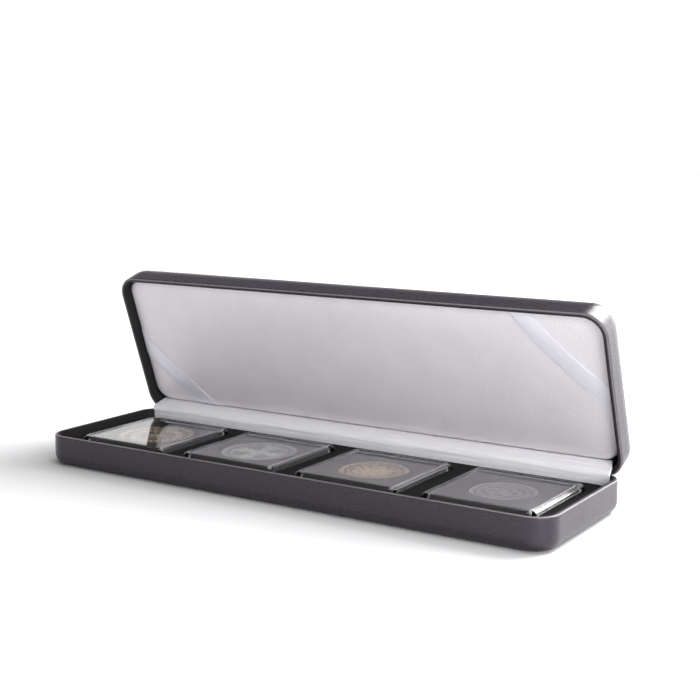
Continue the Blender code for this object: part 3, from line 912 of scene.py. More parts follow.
@dataclass
class Lining:
    """The lid's lining: satin wrapped over thin foam and card, softly crowned."""

    swing: Swing
    rim: float
    half_length: float = 125.5 * MM
    front: float = -35.5 * MM
    back: float = 32.2 * MM
    corner: float = 8.0 * MM
    face: float = 3.0 * MM
    depth: float = 4.4 * MM
    edge_drop: float = 1.1 * MM
    edge_reach: float = 3.0 * MM
    round_edge: float = 1.5 * MM
    pucker: float = 0.10 * MM

    def outline(self) -> Outline:
        """The lining's plan in the shut lid."""
        return Outline(
            self.half_length,
            (self.back - self.front) / 2,
            self.corner,
            middle=(0.0, (self.front + self.back) / 2),
            long_steps=150,
            short_steps=44,
            corner_steps=20,
        )

    def face_depth(self, inset: np.ndarray) -> np.ndarray:
        """Depth of the satin's face below the rim: least in the middle, more near the edge."""
        return self.face + self.edge_drop * np.exp(-np.maximum(inset, 0) / self.edge_reach)

    def surface(self) -> Patch:
        """The wrapped lining: card side, sides, soft edges and crowned face, as one closed skin."""
        r = self.round_edge
        back_rows = np.stack([np.zeros(4), np.full(4, self.face + self.depth)], axis=1)
        back_shrink = np.array([1.0, 0.6, 0.25, 0.0])
        side = np.linspace(self.face + self.depth, self.face + self.edge_drop + r, 5)[1:]
        side_rows = np.stack([np.zeros(4), side], axis=1)
        q = np.linspace(0, math.pi / 2, 8)[1:]
        turn = np.stack([r * (1 - np.cos(q)), np.zeros(len(q))], axis=1)
        soft = r * (1 - np.sin(q))
        turn[:, 1] = self.face_depth(turn[:, 0]) + soft
        inset = r + np.concatenate([np.linspace(0, 9, 19)[1:], np.linspace(9, 24, 16)[1:]]) * MM
        face_rows = np.stack([inset, self.face_depth(inset)], axis=1)
        cap_shrink = np.linspace(0, 1, 5)[1:]
        cap_rows = np.tile(face_rows[-1], (4, 1))
        rows = np.concatenate([back_rows, side_rows, turn, face_rows, cap_rows])
        level = np.zeros(len(side_rows) + len(turn) + len(face_rows))
        shrink = np.concatenate([back_shrink, level, cap_shrink])
        rings, _ = self.outline().rings(rows[:, 0], shrink=shrink)
        depth = np.repeat(rows[:, 1:], rings.shape[1], axis=1)
        depth = depth + self.puckers(rings, rows)
        points = np.concatenate([rings, self.rim + depth[..., None]], axis=-1)
        return Patch(self.swing.open(points), rings)

    def puckers(self, rings: np.ndarray, rows: np.ndarray) -> np.ndarray:
        """Faint pulls of the satin: low swells all over, small gathers near the corners."""
        x, y = rings[..., 0], rings[..., 1]
        swell = 0.6 * ripple(x, y, 1.3, 0.055) + 0.4 * ripple(x, y, 4.1, 0.023)
        near = np.exp(-rows[:, :1] / (5 * MM))
        corner_x = np.exp(-((np.abs(x) - self.half_length + self.corner) ** 2) / (9 * MM) ** 2)
        middle = (self.front + self.back) / 2
        half = (self.back - self.front) / 2
        corner_y = np.exp(-((np.abs(y - middle) - half + self.corner) ** 2) / (9 * MM) ** 2)
        turn = np.arctan2(
            np.abs(y - middle) - half + self.corner, np.abs(x) - self.half_length + self.corner
        )
        gather = np.sin(turn * 26) * near * corner_x * corner_y
        on_face = (rows[:, :1] > 0) | (rows[:, 1:] < self.face + self.edge_drop)
        return np.where(on_face, self.pucker * swell + 0.8 * self.pucker * gather, 0.0)

    def build(self, material: bpy.types.Material) -> bpy.types.Object:
        """Make the lining and tie it to the lid."""
        piece = weave_object("lid_lining", [self.surface()])
        dress(piece, material)
        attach(piece, "lid")
        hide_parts("lid_satin")
        return piece


@dataclass
class Ribbon:
    """A satin ribbon across a corner of the lining, tucked down behind its edges at both ends."""

    name: str
    lining: Lining
    start: tuple[float, float]
    end: tuple[float, float]
    width: float
    bow: float
    lift: float = 0.35 * MM
    thickness: float = 0.22 * MM
    tuck: float = 3.0 * MM
    rows: int = 130
    stitch: float = 0.9 * MM

    def centre(self) -> tuple[np.ndarray, np.ndarray]:
        """The middle line in plan, bowed sideways by a sine, and its unit normals."""
        a, b = np.array(self.start), np.array(self.end)
        long = b - a
        side = np.array([-long[1], long[0]]) / np.linalg.norm(long)
        t = np.linspace(0, 1, self.rows)[:, None]
        line = a + long * t + side * self.bow * np.sin(math.pi * t)
        step = np.gradient(line, axis=0)
        step = step / np.linalg.norm(step, axis=1, keepdims=True)
        return line, np.stack([-step[:, 1], step[:, 0]], axis=1)

    def drape(self, plan: np.ndarray, above: float) -> np.ndarray:
        """Lay plan points on the lining's face; those beyond its edge turn down behind it.

        A point at the distance e past the line where the edge starts to round goes over a
        quarter circle of radius r, and on straight down: its reach is r sin(e / r) until a
        quarter turn, and what is left of e is its drop.
        """
        lining = self.lining
        middle, half = (lining.front + lining.back) / 2, (lining.back - lining.front) / 2
        r = lining.round_edge
        found = []
        drop = 0.0
        for value, centre, limit in (
            (plan[..., 0], 0.0, lining.half_length), (plan[..., 1], middle, half)
        ):
            out = np.abs(value - centre) - (limit - r)
            e = np.maximum(out, 0)
            quarter = math.pi / 2 * r
            reach = np.where(e < quarter, r * np.sin(e / r), r)
            fall = np.where(e < quarter, r * (1 - np.cos(e / r)), r + e - quarter)
            found.append(
                np.where(out > 0, centre + np.sign(value - centre) * (limit - r + reach), value)
            )
            drop = drop + fall
        x, y = found
        inset = np.minimum(lining.half_length - np.abs(x), half - np.abs(y - middle))
        depth = lining.face_depth(inset) + drop - above
        return np.stack([x, y, lining.rim + depth], axis=-1)

    def surface(self) -> tuple[np.ndarray, np.ndarray]:
        """The ribbon's face: a flat strip with its edges a little raised.

        Returns:
            The points in the shut lid and their places along and across the ribbon.
        """
        line, normal = self.centre()
        across = np.linspace(-0.5, 0.5, 13)
        plan = line[:, None] + normal[:, None] * (across * self.width)[None, :, None]
        t = np.linspace(0, 1, self.rows)[:, None]
        arch = self.lift * (0.45 + 0.55 * np.sin(math.pi * t))
        arch = arch + 0.06 * MM * np.cos(2 * math.pi * across)[None]
        arch = arch + 0.08 * MM * ripple(plan[..., 0], plan[..., 1], 2.2, 0.012)
        laid = self.drape(plan, arch)
        run = np.linalg.norm(np.diff(laid, axis=0, prepend=laid[:1]), axis=2)[:, 6]
        along = np.repeat(np.cumsum(run)[:, None], 13, axis=1)
        flat = np.stack([along, np.repeat((across * self.width)[None], self.rows, axis=0)], axis=-1)
        return laid, flat

    def build(self, material: bpy.types.Material, thread: bpy.types.Material) -> list[
        bpy.types.Object
    ]:
        """Make the ribbon and the stitches along its edges."""
        laid, flat = self.surface()
        rest = self.lining.swing.open(laid)
        piece = weave_object(self.name + "_satin", [Patch(rest, flat)])
        wall = piece.modifiers.new("thickness", "SOLIDIFY")
        wall.thickness = self.thickness
        wall.offset = 0.0
        set_in_mesh(piece)
        dress(piece, material)
        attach(piece, "lid")
        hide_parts(self.name)
        stitches = self.stitches(rest, flat, thread)
        return [piece, stitches]

    def stitches(
        self, rest: np.ndarray, flat: np.ndarray, thread: bpy.types.Material
    ) -> bpy.types.Object:
        """A row of small thread loops along each edge, each a six-sided bead."""
        length = float(flat[-1, 0, 0])
        count = int(length / self.stitch)
        at = (np.arange(count) + 0.5) / count * (self.rows - 1)
        low = np.floor(at).astype(int)
        share = (at - low)[:, None]
        up = self.lining.swing.open(np.array([[0, 0, 0], [0, 0, -1.0]]))
        up = up[1] - up[0]
        beads = []
        for column in (0, 12):
            edge = rest[:, column]
            here = edge[low] * (1 - share) + edge[low + 1] * share + up * self.thickness * 0.6
            way = edge[low + 1] - edge[low]
            way = way / np.maximum(np.linalg.norm(way, axis=1, keepdims=True), 1e-9)
            beads.append(bead_patches(here, way, up, 0.36 * MM, 0.17 * MM))
        piece = weave_object(self.name + "_stitches", [p for row in beads for p in row])
        dress(piece, thread)
        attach(piece, "lid")
        return piece


def bead_patches(
    here: np.ndarray, way: np.ndarray, up: np.ndarray, long: float, wide: float
) -> list[Patch]:
    """One small six-sided spindle for each place, long along `way`.

    Args:
        here: The beads' middles, of shape (n, 3).
        way: Their unit directions, of shape (n, 3).
        up: A direction across them all.
        long: Half a bead's length.
        wide: Its radius.

    Returns:
        A patch for each bead.
    """
    side = np.cross(way, up)
    side = side / np.maximum(np.linalg.norm(side, axis=1, keepdims=True), 1e-9)
    lift = np.cross(side, way)
    turn = np.linspace(0, 2 * math.pi, 7)
    along = np.array([-1.0, -0.55, 0.55, 1.0])
    radius = np.array([0.0, 0.85, 0.85, 0.0])
    ring = np.cos(turn)[None, None, :, None] * side[:, None, None]
    ring = ring + np.sin(turn)[None, None, :, None] * lift[:, None, None]
    points = here[:, None, None] + long * along[None, :, None, None] * way[:, None, None]
    points = points + wide * radius[None, :, None, None] * ring
    flat = np.zeros((4, 7, 2))
    return [Patch(bead, flat) for bead in points]


def set_in_mesh(piece: bpy.types.Object) -> None:
    """Put the result of a piece's modifiers in its mesh."""
    graph = bpy.context.evaluated_depsgraph_get()
    made = bpy.data.meshes.new_from_object(piece.evaluated_get(graph))
    old = piece.data
    piece.modifiers.clear()
    piece.data = made
    bpy.data.meshes.remove(old)
    made.name = piece.name


# ---------------------------------------------------------------- the gusset


@dataclass
class Gusset:
    """The satin strip that covers the hinge from inside.

    It stands up behind the insert, bends round the front of the hinge and runs up behind the
    lining's lower edge.
    """

    swing: Swing
    rim: float
    lining: Lining
    left: float = -124.2 * MM
    right: float = 123.0 * MM
    radius: float = 2.45 * MM
    bottom: float = 9.2 * MM
    thickness: float = 0.35 * MM
    tuck: float = 1.6 * MM
    columns: int = 260

    def path(self) -> np.ndarray:
        """The section: a straight rise, an arc about the axis and a tangent to the lining's edge.

        Returns:
            (y, z) of each point, of shape (n, 2).
        """
        edge = np.array(
            [[0.0, self.lining.back + 0.75 * MM, self.rim + self.lining.face + 1.0 * MM]]
        )
        y, z = self.swing.open(edge)[0, 1:] - np.array([self.swing.y, self.swing.z])
        reach = math.hypot(y, z)
        last = math.atan2(z, y) + math.acos(self.radius / reach)
        rise = np.linspace(self.bottom - self.swing.z, 0, 9)[:-1]
        straight = np.stack([np.full(8, -self.radius), rise], axis=1)
        angle = np.linspace(math.pi, last, 12)
        arc = self.radius * np.stack([np.cos(angle), np.sin(angle)], axis=1)
        t = np.linspace(0, 1 + self.tuck / np.linalg.norm([y, z] - arc[-1]), 12)[1:, None]
        run = arc[-1] + (np.array([y, z]) - arc[-1]) * t
        return np.concatenate([straight, arc, run]) + np.array([self.swing.y, self.swing.z])

    def surface(self) -> tuple[np.ndarray, np.ndarray]:
        """The strip's middle layer and its flat places."""
        path = self.path()
        step = np.gradient(path, axis=0)
        away = np.stack([-step[:, 1], step[:, 0]], axis=1)
        away = away / np.linalg.norm(away, axis=1, keepdims=True)
        run = np.cumsum(np.linalg.norm(np.diff(path, axis=0, prepend=path[:1]), axis=1))
        v = (run / run[-1])[:, None]
        share = np.linspace(0, 1, self.columns)
        share = (share + 0.5 - 0.5 * np.cos(math.pi * share)) / 2
        x = self.left + (self.right - self.left) * share[None, :]
        x = np.repeat(x, len(path), axis=0)
        free = np.sin(math.pi * np.clip(v, 0, 1)) ** 0.7
        fold = 0.22 * ripple(x, 0.4 * v, 0.7, 0.034) + 0.10 * ripple(x, 3 * v * MM, 2.9, 0.0085)
        belly = 0.25 + 0.25 * ripple(x, 0 * v, 5.3, 0.11)
        puff = (fold + belly) * MM * free
        y = path[:, :1] + away[:, :1] * puff
        z = path[:, 1:] + away[:, 1:] * puff
        points = np.stack([x, y, z], axis=-1)
        flat = np.stack([x, np.repeat(run[:, None], self.columns, axis=1)], axis=-1)
        return self.trim(points, v), flat

    def trim(self, points: np.ndarray, v: np.ndarray) -> np.ndarray:
        """Draw the strip's ends in towards its lid side, as a rounded cut."""
        end = np.minimum(points[..., 0] - self.left, self.right - points[..., 0])
        near = np.exp(-end / (2.5 * MM))
        cut = 1.6 * MM * ease((v - 0.5) / 0.5) * near
        points = points.copy()
        points[..., 0] += np.where(points[..., 0] < 0, cut, -cut)
        return points

    def build(self, material: bpy.types.Material) -> bpy.types.Object:
        """Make the strip where it stands at rest, tied to neither half."""
        points, flat = self.surface()
        piece = weave_object("hinge_gusset_satin", [Patch(points, flat)])
        wall = piece.modifiers.new("thickness", "SOLIDIFY")
        wall.thickness = self.thickness
        wall.offset = 0.0
        set_in_mesh(piece)
        dress(piece, material)
        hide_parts("hinge_gusset")
        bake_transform(piece)
        return piece


# ---------------------------------------------------------------- capsules and coins


class Motif(Enum):
    """What a coin shows inside its beaded border."""

    WREATH = "wreath"
    CROSS = "cross"
    ROSETTE = "rosette"
    QUATREFOIL = "quatrefoil"


@dataclass
class Coin:
    """A struck coin: raised rim, beaded border and a generic relief, plain on its reverse."""

    index: int
    low: Vector
    high: Vector
    motif: Motif
    beads: int
    rim_width: float = 0.9 * MM
    relief: float = 0.34 * MM
    columns: int = 480
    rows: int = 120

    def bead_height(self, r: np.ndarray, turn: np.ndarray, radius: float) -> np.ndarray:
        """Round beads on a circle: sqrt(1 - (distance / bead radius)^2), or nothing outside."""
        circle = radius - self.rim_width - 0.55 * MM
        size = 0.40 * math.pi * circle / self.beads * 2
        off = (turn * self.beads / (2 * math.pi) + 0.5) % 1 - 0.5
        aside = off * 2 * math.pi / self.beads * r
        reach = (aside**2 + (r - circle) ** 2) / size**2
        return np.sqrt(np.maximum(1 - reach, 0))

    def leaves(
        self,
        r: np.ndarray,
        turn: np.ndarray,
        circle: float,
        count: int,
        long: float,
        wide: float,
        lean: float,
    ) -> np.ndarray:
        """Leaves on a circle, each a pointed ridge leaning along it."""
        off = (turn * count / (2 * math.pi)) % 1 - 0.5
        along = off * 2 * math.pi / count * circle
        up = r - circle
        a = along * math.cos(lean) + up * math.sin(lean)
        b = -along * math.sin(lean) + up * math.cos(lean)
        shape = 1 - (a / long) ** 2 - np.abs(b / wide) * (1.2 + 0.5 * a / long)
        vein = 0.25 * np.exp(-((b / (0.18 * wide)) ** 2))
        return np.where(shape > 0, np.sqrt(np.maximum(shape, 0)) - vein, 0)

    def pattern(self, r: np.ndarray, turn: np.ndarray, radius: float) -> np.ndarray:
        """The relief inside the border, from 0 to about 1."""
        s = r / radius
        x, y = s * np.cos(turn), s * np.sin(turn)
        if self.motif is Motif.WREATH:
            found = self.leaves(r, turn, 0.66 * radius, 26, 0.085 * radius, 0.07 * radius, 0.55)
            found = found + self.leaves(
                r, turn + 0.12, 0.56 * radius, 22, 0.075 * radius, 0.06 * radius, -0.6
            )
            rays = np.cos(8 * turn) * 0.5 + 0.5
            star = np.maximum(1 - s / (0.16 + 0.24 * rays**3), 0) ** 0.6
            return np.maximum(found, star)
        if self.motif is Motif.CROSS:
            arm = 0.10 + 0.22 * np.maximum(np.abs(x), np.abs(y)) ** 1.2
            inside = (np.minimum(np.abs(x), np.abs(y)) < arm) & (s < 0.66)
            cross = np.where(inside, 0.75 + 0.25 * np.cos(30 * s), 0.0)
            dots = self.leaves(
                r, turn + math.pi / 4, 0.44 * radius, 4, 0.11 * radius, 0.13 * radius, 0.8
            )
            ring = np.exp(-(((s - 0.74) / 0.014) ** 2))
            fringe = self.leaves(r, turn, 0.70 * radius, 36, 0.05 * radius, 0.035 * radius, 1.2)
            return np.maximum.reduce([cross, dots, ring, fringe * (s > 0.64)])
        if self.motif is Motif.ROSETTE:
            petals = np.abs(np.cos(6 * turn))
            flower = np.where(
                s < 0.30 + 0.34 * petals, 0.45 + 0.55 * np.abs(np.sin(6 * turn + 9 * s)), 0.0
            )
            heart = np.sqrt(np.maximum(1 - (s / 0.16) ** 2, 0))
            border = self.leaves(r, turn, 0.735 * radius, 40, 0.05 * radius, 0.045 * radius, 0.9)
            return np.maximum.reduce([flower * ease((s - 0.1) * 12), heart, border])
        lobes = 0.34 + 0.20 * np.abs(np.cos(2 * turn))
        outline = np.exp(-(((s - lobes) / 0.022) ** 2)) + 0.7 * np.exp(
            -(((s - lobes + 0.07) / 0.014) ** 2)
        )
        knot = np.exp(-(((np.hypot(np.abs(x) - 0.15, np.abs(y) - 0.15) - 0.12) / 0.02) ** 2))
        heart = np.sqrt(np.maximum(1 - (s / 0.08) ** 2, 0))
        marks = self.leaves(r, turn, 0.68 * radius, 32, 0.055 * radius, 0.05 * radius, 1.35)
        ring = np.exp(-(((s - 0.755) / 0.012) ** 2))
        return np.maximum.reduce([outline, knot * (s < lobes - 0.08), heart, marks, ring])

    def dots(self, r: np.ndarray, turn: np.ndarray, radius: float) -> np.ndarray:
        """Small round dots on rings between the border and the middle, where the motif is free."""
        found = np.zeros(r.shape)
        for circle, count in ((0.24, 11), (0.36, 17), (0.48, 23), (0.60, 29), (0.71, 38)):
            off = ((turn + circle * 7) * count / (2 * math.pi)) % 1 - 0.5
            aside = off * 2 * math.pi / count * circle
            reach = (aside**2 + (r / radius - circle) ** 2) / 0.026**2
            found = np.maximum(found, np.sqrt(np.maximum(1 - reach, 0)))
        return 0.7 * found

    def heights(self, r: np.ndarray, turn: np.ndarray, radius: float) -> np.ndarray:
        """The obverse's height above its field, as a share of the rim's."""
        r, turn = np.broadcast_arrays(r, turn)
        rim = ease((r - (radius - self.rim_width)) / (0.22 * MM))
        beads = 0.75 * self.bead_height(r, turn, radius)
        inside = ease((radius - self.rim_width - 1.25 * MM - r) / (0.3 * MM))
        motif = np.clip(self.pattern(r, turn, radius), 0, 1)
        relief = 0.8 * np.maximum(motif, self.dots(r, turn, radius) * (motif < 0.15)) * inside
        # the uneven wear of the coin's relief, in height only
        worn = 0.05 * ripple(r * np.cos(turn), r * np.sin(turn), 3.3 + self.index, 0.0031)
        return np.maximum(np.maximum(rim, beads), relief) + worn * (1 - rim)

    def surface(self) -> Patch:
        """The whole coin: obverse from the middle out, reeded edge, and the reverse back in."""
        radius = (self.high.x - self.low.x) / 2
        middle = (self.low + self.high) / 2
        turn = np.linspace(0, 2 * math.pi, self.columns + 1)[None, :]
        r = np.linspace(0, radius - 0.12 * MM, self.rows)[:, None]
        share = self.heights(r, turn, radius)
        top = self.high.z - self.relief + self.relief * share
        reeds = 0.04 * MM * (0.5 + 0.5 * np.sign(np.sin(turn * 120)))
        edge_r = radius - reeds * np.array([[1.0], [1.0]])
        edge_z = np.array([[self.high.z - 0.14 * MM], [self.low.z + 0.14 * MM]])
        rim = radius - self.rim_width
        under_r = np.array([radius - 0.12 * MM, rim, rim - 0.25 * MM, 0.5 * radius, 0.0])
        under_z = self.low.z + np.array([0.0, 0.0, 0.14, 0.16, 0.16]) * MM
        ones = np.ones_like(turn)
        all_r = np.concatenate([r * ones, edge_r, under_r[:, None] * ones])
        all_z = np.concatenate([top, edge_z * ones, under_z[:, None] * ones])
        mark = np.concatenate(
            [np.clip(share, 0, 1), 0.8 * ones, 0.8 * ones, np.tile(0.5 * ones, (5, 1))]
        )
        x = middle.x + all_r * np.cos(turn)
        y = middle.y + all_r * np.sin(turn)
        points = np.stack([x, y, all_z], axis=-1)
        return Patch(points, points[..., :2], mark)

    def build(self, material: bpy.types.Material, slot: str) -> bpy.types.Object:
        """Make the coin and tie it to its own body."""
        piece = weave_object(f"coin_{self.index}_struck", [self.surface()], math.radians(60))
        dress(piece, material)
        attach(piece, f"loose_coin_{self.index}")
        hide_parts(f"coin_{self.index}")
        return piece


@dataclass
class Capsule:
    """A square capsule: two clear halves that close on a foam insert with a round hole."""

    index: int
    corner: float = 3.1 * MM
    skin: float = 1.3 * MM
    wall: float = 1.8 * MM
    window_step: float = 0.22 * MM
    border: float = 2.6 * MM
    lip_outer: float = 2.1 * MM
    lip_inner: float = 2.9 * MM
    hole_gap: float = 0.3 * MM

    def plan(self, node: str) -> tuple[Outline, Vector, Vector]:
        """A node's outline and its lowest and highest corners."""
        low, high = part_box(node)
        middle = ((low.x + high.x) / 2, (low.y + high.y) / 2)
        outline = Outline(
            (high.x - low.x) / 2,
            (high.y - low.y) / 2,
            self.corner,
            middle=middle,
            corner_steps=8,
            long_steps=10,
            short_steps=10,
        )
        return outline, low, high

    def turned(self, name: str, outline: Outline, line: np.ndarray) -> bpy.types.Object:
        """A closed solid from a section that starts and ends on the middle line.

        Args:
            name: The piece's name.
            outline: The capsule's plan.
            line: (inset, height) points; the first and last are drawn in to the middle.

        Returns:
            The piece.
        """
        rows = np.concatenate([line[:1], line, line[-1:]])
        shrink = np.zeros(len(rows))
        shrink[[0, -1]] = 1.0
        corner = np.maximum(self.corner - rows[:, 0], 0.5 * MM)
        rings, _ = outline.rings(rows[:, 0], corner=corner, shrink=shrink)
        height = np.repeat(rows[:, 1:], rings.shape[1], axis=1)[..., None]
        return weave_object(
            name, [Patch(np.concatenate([rings, height], axis=-1), rings)], math.radians(25)
        )

    def top_half(self) -> bpy.types.Object:
        """The upper half: a sunk window in a border, soft edges, and a lip that goes inside."""
        outline, low, high = self.plan(f"capsule_lid_{self.index}")
        lip_low = low.z
        seat = lip_low + 0.75 * MM
        window = high.z - self.window_step
        under = high.z - self.skin
        b = self.border
        line = fillet(
            [
                (b + 1.2 * MM, window, 0),
                (b + 0.15 * MM, window, 0.15 * MM),
                (b - 0.15 * MM, high.z, 0.15 * MM),
                (1.10 * MM, high.z, 0.40 * MM),
                (0.0, high.z - 1.0 * MM, 0.40 * MM),
                (0.0, seat, 0.12 * MM),
                (self.lip_outer, seat, 0.05 * MM),
                (self.lip_outer, lip_low, 0.15 * MM),
                (self.lip_inner, lip_low, 0.15 * MM),
                (self.lip_inner, under, 0.25 * MM),
                (self.lip_inner + 1.0 * MM, under, 0),
            ]
        )
        return self.turned(f"capsule_top_{self.index}_clear", outline, line)

    def bottom_half(self) -> bpy.types.Object:
        """The lower half: a shallow clear tray with soft outer edges."""
        outline, low, high = self.plan(f"capsule_base_{self.index}")
        floor = low.z + self.skin
        line = fillet(
            [
                (4.0 * MM, low.z, 0),
                (0.0, low.z, 0.60 * MM),
                (0.0, high.z, 0.20 * MM),
                (self.wall, high.z, 0.15 * MM),
                (self.wall, floor, 0.30 * MM),
                (self.wall + 1.0 * MM, floor, 0),
            ]
        )
        return self.turned(f"capsule_bottom_{self.index}_clear", outline, line)

    def foam(self, coin_radius: float) -> bpy.types.Object:
        """The foam insert: a square outside and a round hole, closed over top and underside."""
        low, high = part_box(f"capsule_foam_{self.index}")
        half = (high.x - low.x) / 2
        middle = np.array([(low.x + high.x) / 2, (low.y + high.y) / 2])
        angle = np.linspace(-math.pi, math.pi, 121)
        outer, normal = cast(angle, half, half, half, 1.5 * MM, 1.5 * MM)
        hole = (coin_radius + self.hole_gap) * np.stack([np.cos(angle), np.sin(angle)], axis=1)
        out = hole / np.linalg.norm(hole, axis=1, keepdims=True)
        r = 0.25 * MM
        rows = [(outer, low.z), (outer, high.z - r), (outer - normal * r * 0.3, high.z - 0.3 * r)]
        rows += [
            (outer - normal * r, high.z),
            (hole + out * r, high.z),
            (hole + out * 0.3 * r, high.z - 0.3 * r),
        ]
        rows += [(hole, high.z - r), (hole, low.z), (outer, low.z)]
        plan = np.stack([row for row, _ in rows]) + middle
        z = np.array([height for _, height in rows])[:, None, None]
        grid = np.concatenate([plan, np.broadcast_to(z, (*plan.shape[:2], 1))], axis=-1)
        return weave_object(f"capsule_foam_{self.index}_cut", [Patch(grid, plan)])

    def build(
        self, plastic: bpy.types.Material, foam: bpy.types.Material, coin_radius: float
    ) -> list[bpy.types.Object]:
        """Make the capsule's three pieces and tie them to their bodies."""
        k = self.index
        made = (
            (self.top_half(), plastic, f"capsule_top_{k}", f"capsule_lid_{k}", "clear_plastic"),
            (self.bottom_half(), plastic, f"capsule_{k}", f"capsule_base_{k}", "clear_plastic"),
            (self.foam(coin_radius), foam, f"capsule_{k}", f"capsule_foam_{k}", "black_foam"),
        )
        for piece, material, body, node, slot in made:
            dress(piece, material)
            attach(piece, body)
            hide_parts(node)
            # light falls through the clear halves, as it does through thin plastic
            piece.visible_shadow = slot != "clear_plastic"
        return [piece for piece, *_ in made]


# ---------------------------------------------------------------- the studio


@dataclass
class Studio:
    """The floor, the lights and the camera."""

    camera_place: tuple[float, float, float] = (0.3153, -0.4589, 0.1509)
    camera_turn: float = math.radians(32.97)
    camera_drop: float = math.radians(6.166)
    lens: float = 66.385
    shift: float = -0.1
    front_glow: float = 0.42
    back_glow: float = 1.10
    top_share: float = 0.16

    def floor(self) -> bpy.types.Object:
        """A wide pale floor, level with the case's underside."""
        side = np.linspace(-6.0, 6.0, 9)
        x, y = np.meshgrid(side, side)
        points = np.stack([x, y, np.full_like(x, -0.02 * MM)], axis=-1)
        piece = weave_object("studio_floor", [Patch(points, points[..., :2])])
        g = Graph("pale_floor")
        cloud = g.noise(g.space(6.0), 2.0, 0.5)
        tone = g.spread(cloud, 0.3, 0.7, 0.0, 1.0)
        g.set(Base_Color=g.blend(tone, (0.58, 0.58, 0.59), (0.62, 0.62, 0.63)))
        far = g.node("VectorMath", {"operation": "LENGTH"}, Vector=g.space(1.0)).outputs["Value"]
        g.set(Emission_Color=(1.0, 1.0, 1.0), Emission_Strength=g.spread(far, 0.45, 1.5, 0.0, 0.8))
        g.set(Roughness=0.6, Specular_IOR_Level=0.2)
        dress(piece, g.material)
        return piece

    def light(
        self, name: str, place: Vector, aim: Vector, size: tuple[float, float], power: float
    ) -> None:
        """One rectangular soft light."""
        data = bpy.data.lights.new(name, "AREA")
        data.shape = "RECTANGLE"
        data.size, data.size_y = size
        data.energy = power
        lamp = bpy.data.objects.new(name, data)
        lamp.location = place
        lamp.rotation_euler = (place - aim).to_track_quat("Z", "Y").to_euler()
        bpy.context.scene.collection.objects.link(lamp)

    def world(self) -> None:
        """A pale surround: bright behind the case and along the horizon, dimmer elsewhere."""
        world = bpy.data.worlds.new("studio_surround")
        bpy.context.scene.world = world
        world.use_nodes = True
        tree = world.node_tree
        where = tree.nodes.new("ShaderNodeTexCoord")
        parts = tree.nodes.new("ShaderNodeSeparateXYZ")
        tree.links.new(where.outputs["Generated"], parts.inputs[0])
        behind = self.ramp(tree, parts.outputs["Y"], -0.45, 0.45, self.front_glow, self.back_glow)
        above = self.ramp(tree, parts.outputs["Z"], 0.22, 0.55, 1.0, self.top_share)
        horizon = self.ramp(tree, parts.outputs["Z"], 0.05, 0.16, self.back_glow, 0.0)
        product = tree.nodes.new("ShaderNodeMath")
        product.operation = "MULTIPLY"
        tree.links.new(behind, product.inputs[0])
        tree.links.new(above, product.inputs[1])
        both = tree.nodes.new("ShaderNodeMath")
        both.operation = "MAXIMUM"
        tree.links.new(product.outputs[0], both.inputs[0])
        tree.links.new(horizon, both.inputs[1])
        back = tree.nodes["Background"]
        back.inputs["Color"].default_value = (1.0, 0.99, 1.0, 1.0)
        tree.links.new(both.outputs[0], back.inputs["Strength"])

    def ramp(
        self,
        tree: bpy.types.NodeTree,
        value: bpy.types.NodeSocket,
        low: float,
        high: float,
        to_low: float,
        to_high: float,
    ) -> bpy.types.NodeSocket:
        """Map a number in the surround's tree from one range to another."""
        made = tree.nodes.new("ShaderNodeMapRange")
        tree.links.new(value, made.inputs["Value"])
        for name, number in zip(
            ("From Min", "From Max", "To Min", "To Max"), (low, high, to_low, to_high)
        ):
            made.inputs[name].default_value = number
        return made.outputs[0]

    def camera(self) -> None:
        """The camera, level across and looking a little down, with a small downward shift."""
        data = bpy.data.cameras.new("studio_camera")
        data.sensor_width = 36.0
        data.lens = self.lens
        data.shift_y = self.shift
        data.clip_start = 0.01
        data.clip_end = 50.0
        camera = bpy.data.objects.new("studio_camera", data)
        camera.location = self.camera_place
        camera.rotation_euler = (math.pi / 2 - self.camera_drop, 0.0, self.camera_turn)
        bpy.context.scene.collection.objects.link(camera)
        bpy.context.scene.camera = camera

    def build(self) -> None:
        """Make the whole studio."""
        self.camera()
        self.floor()
        self.world()
        aim = Vector((0.0, 0.0, 0.03))
        lamps = (
            ("high_back", Vector((0.42, 0.86, 0.92)), (0.8, 0.6), 34.0),
            ("low_right_back", Vector((0.64, 0.98, 0.42)), (1.7, 0.8), 18.0),
            ("right_front", Vector((0.56, -0.34, 0.22)), (0.3, 0.3), 3.7),
            ("overhead", Vector((0.10, -0.02, 0.95)), (0.8, 0.6), 6.0),
        )
        for name, place, size, power in lamps:
            self.light(name, place, aim, size, power)
        bpy.context.scene.view_settings.view_transform = "Standard"


# ---------------------------------------------------------------- the whole case


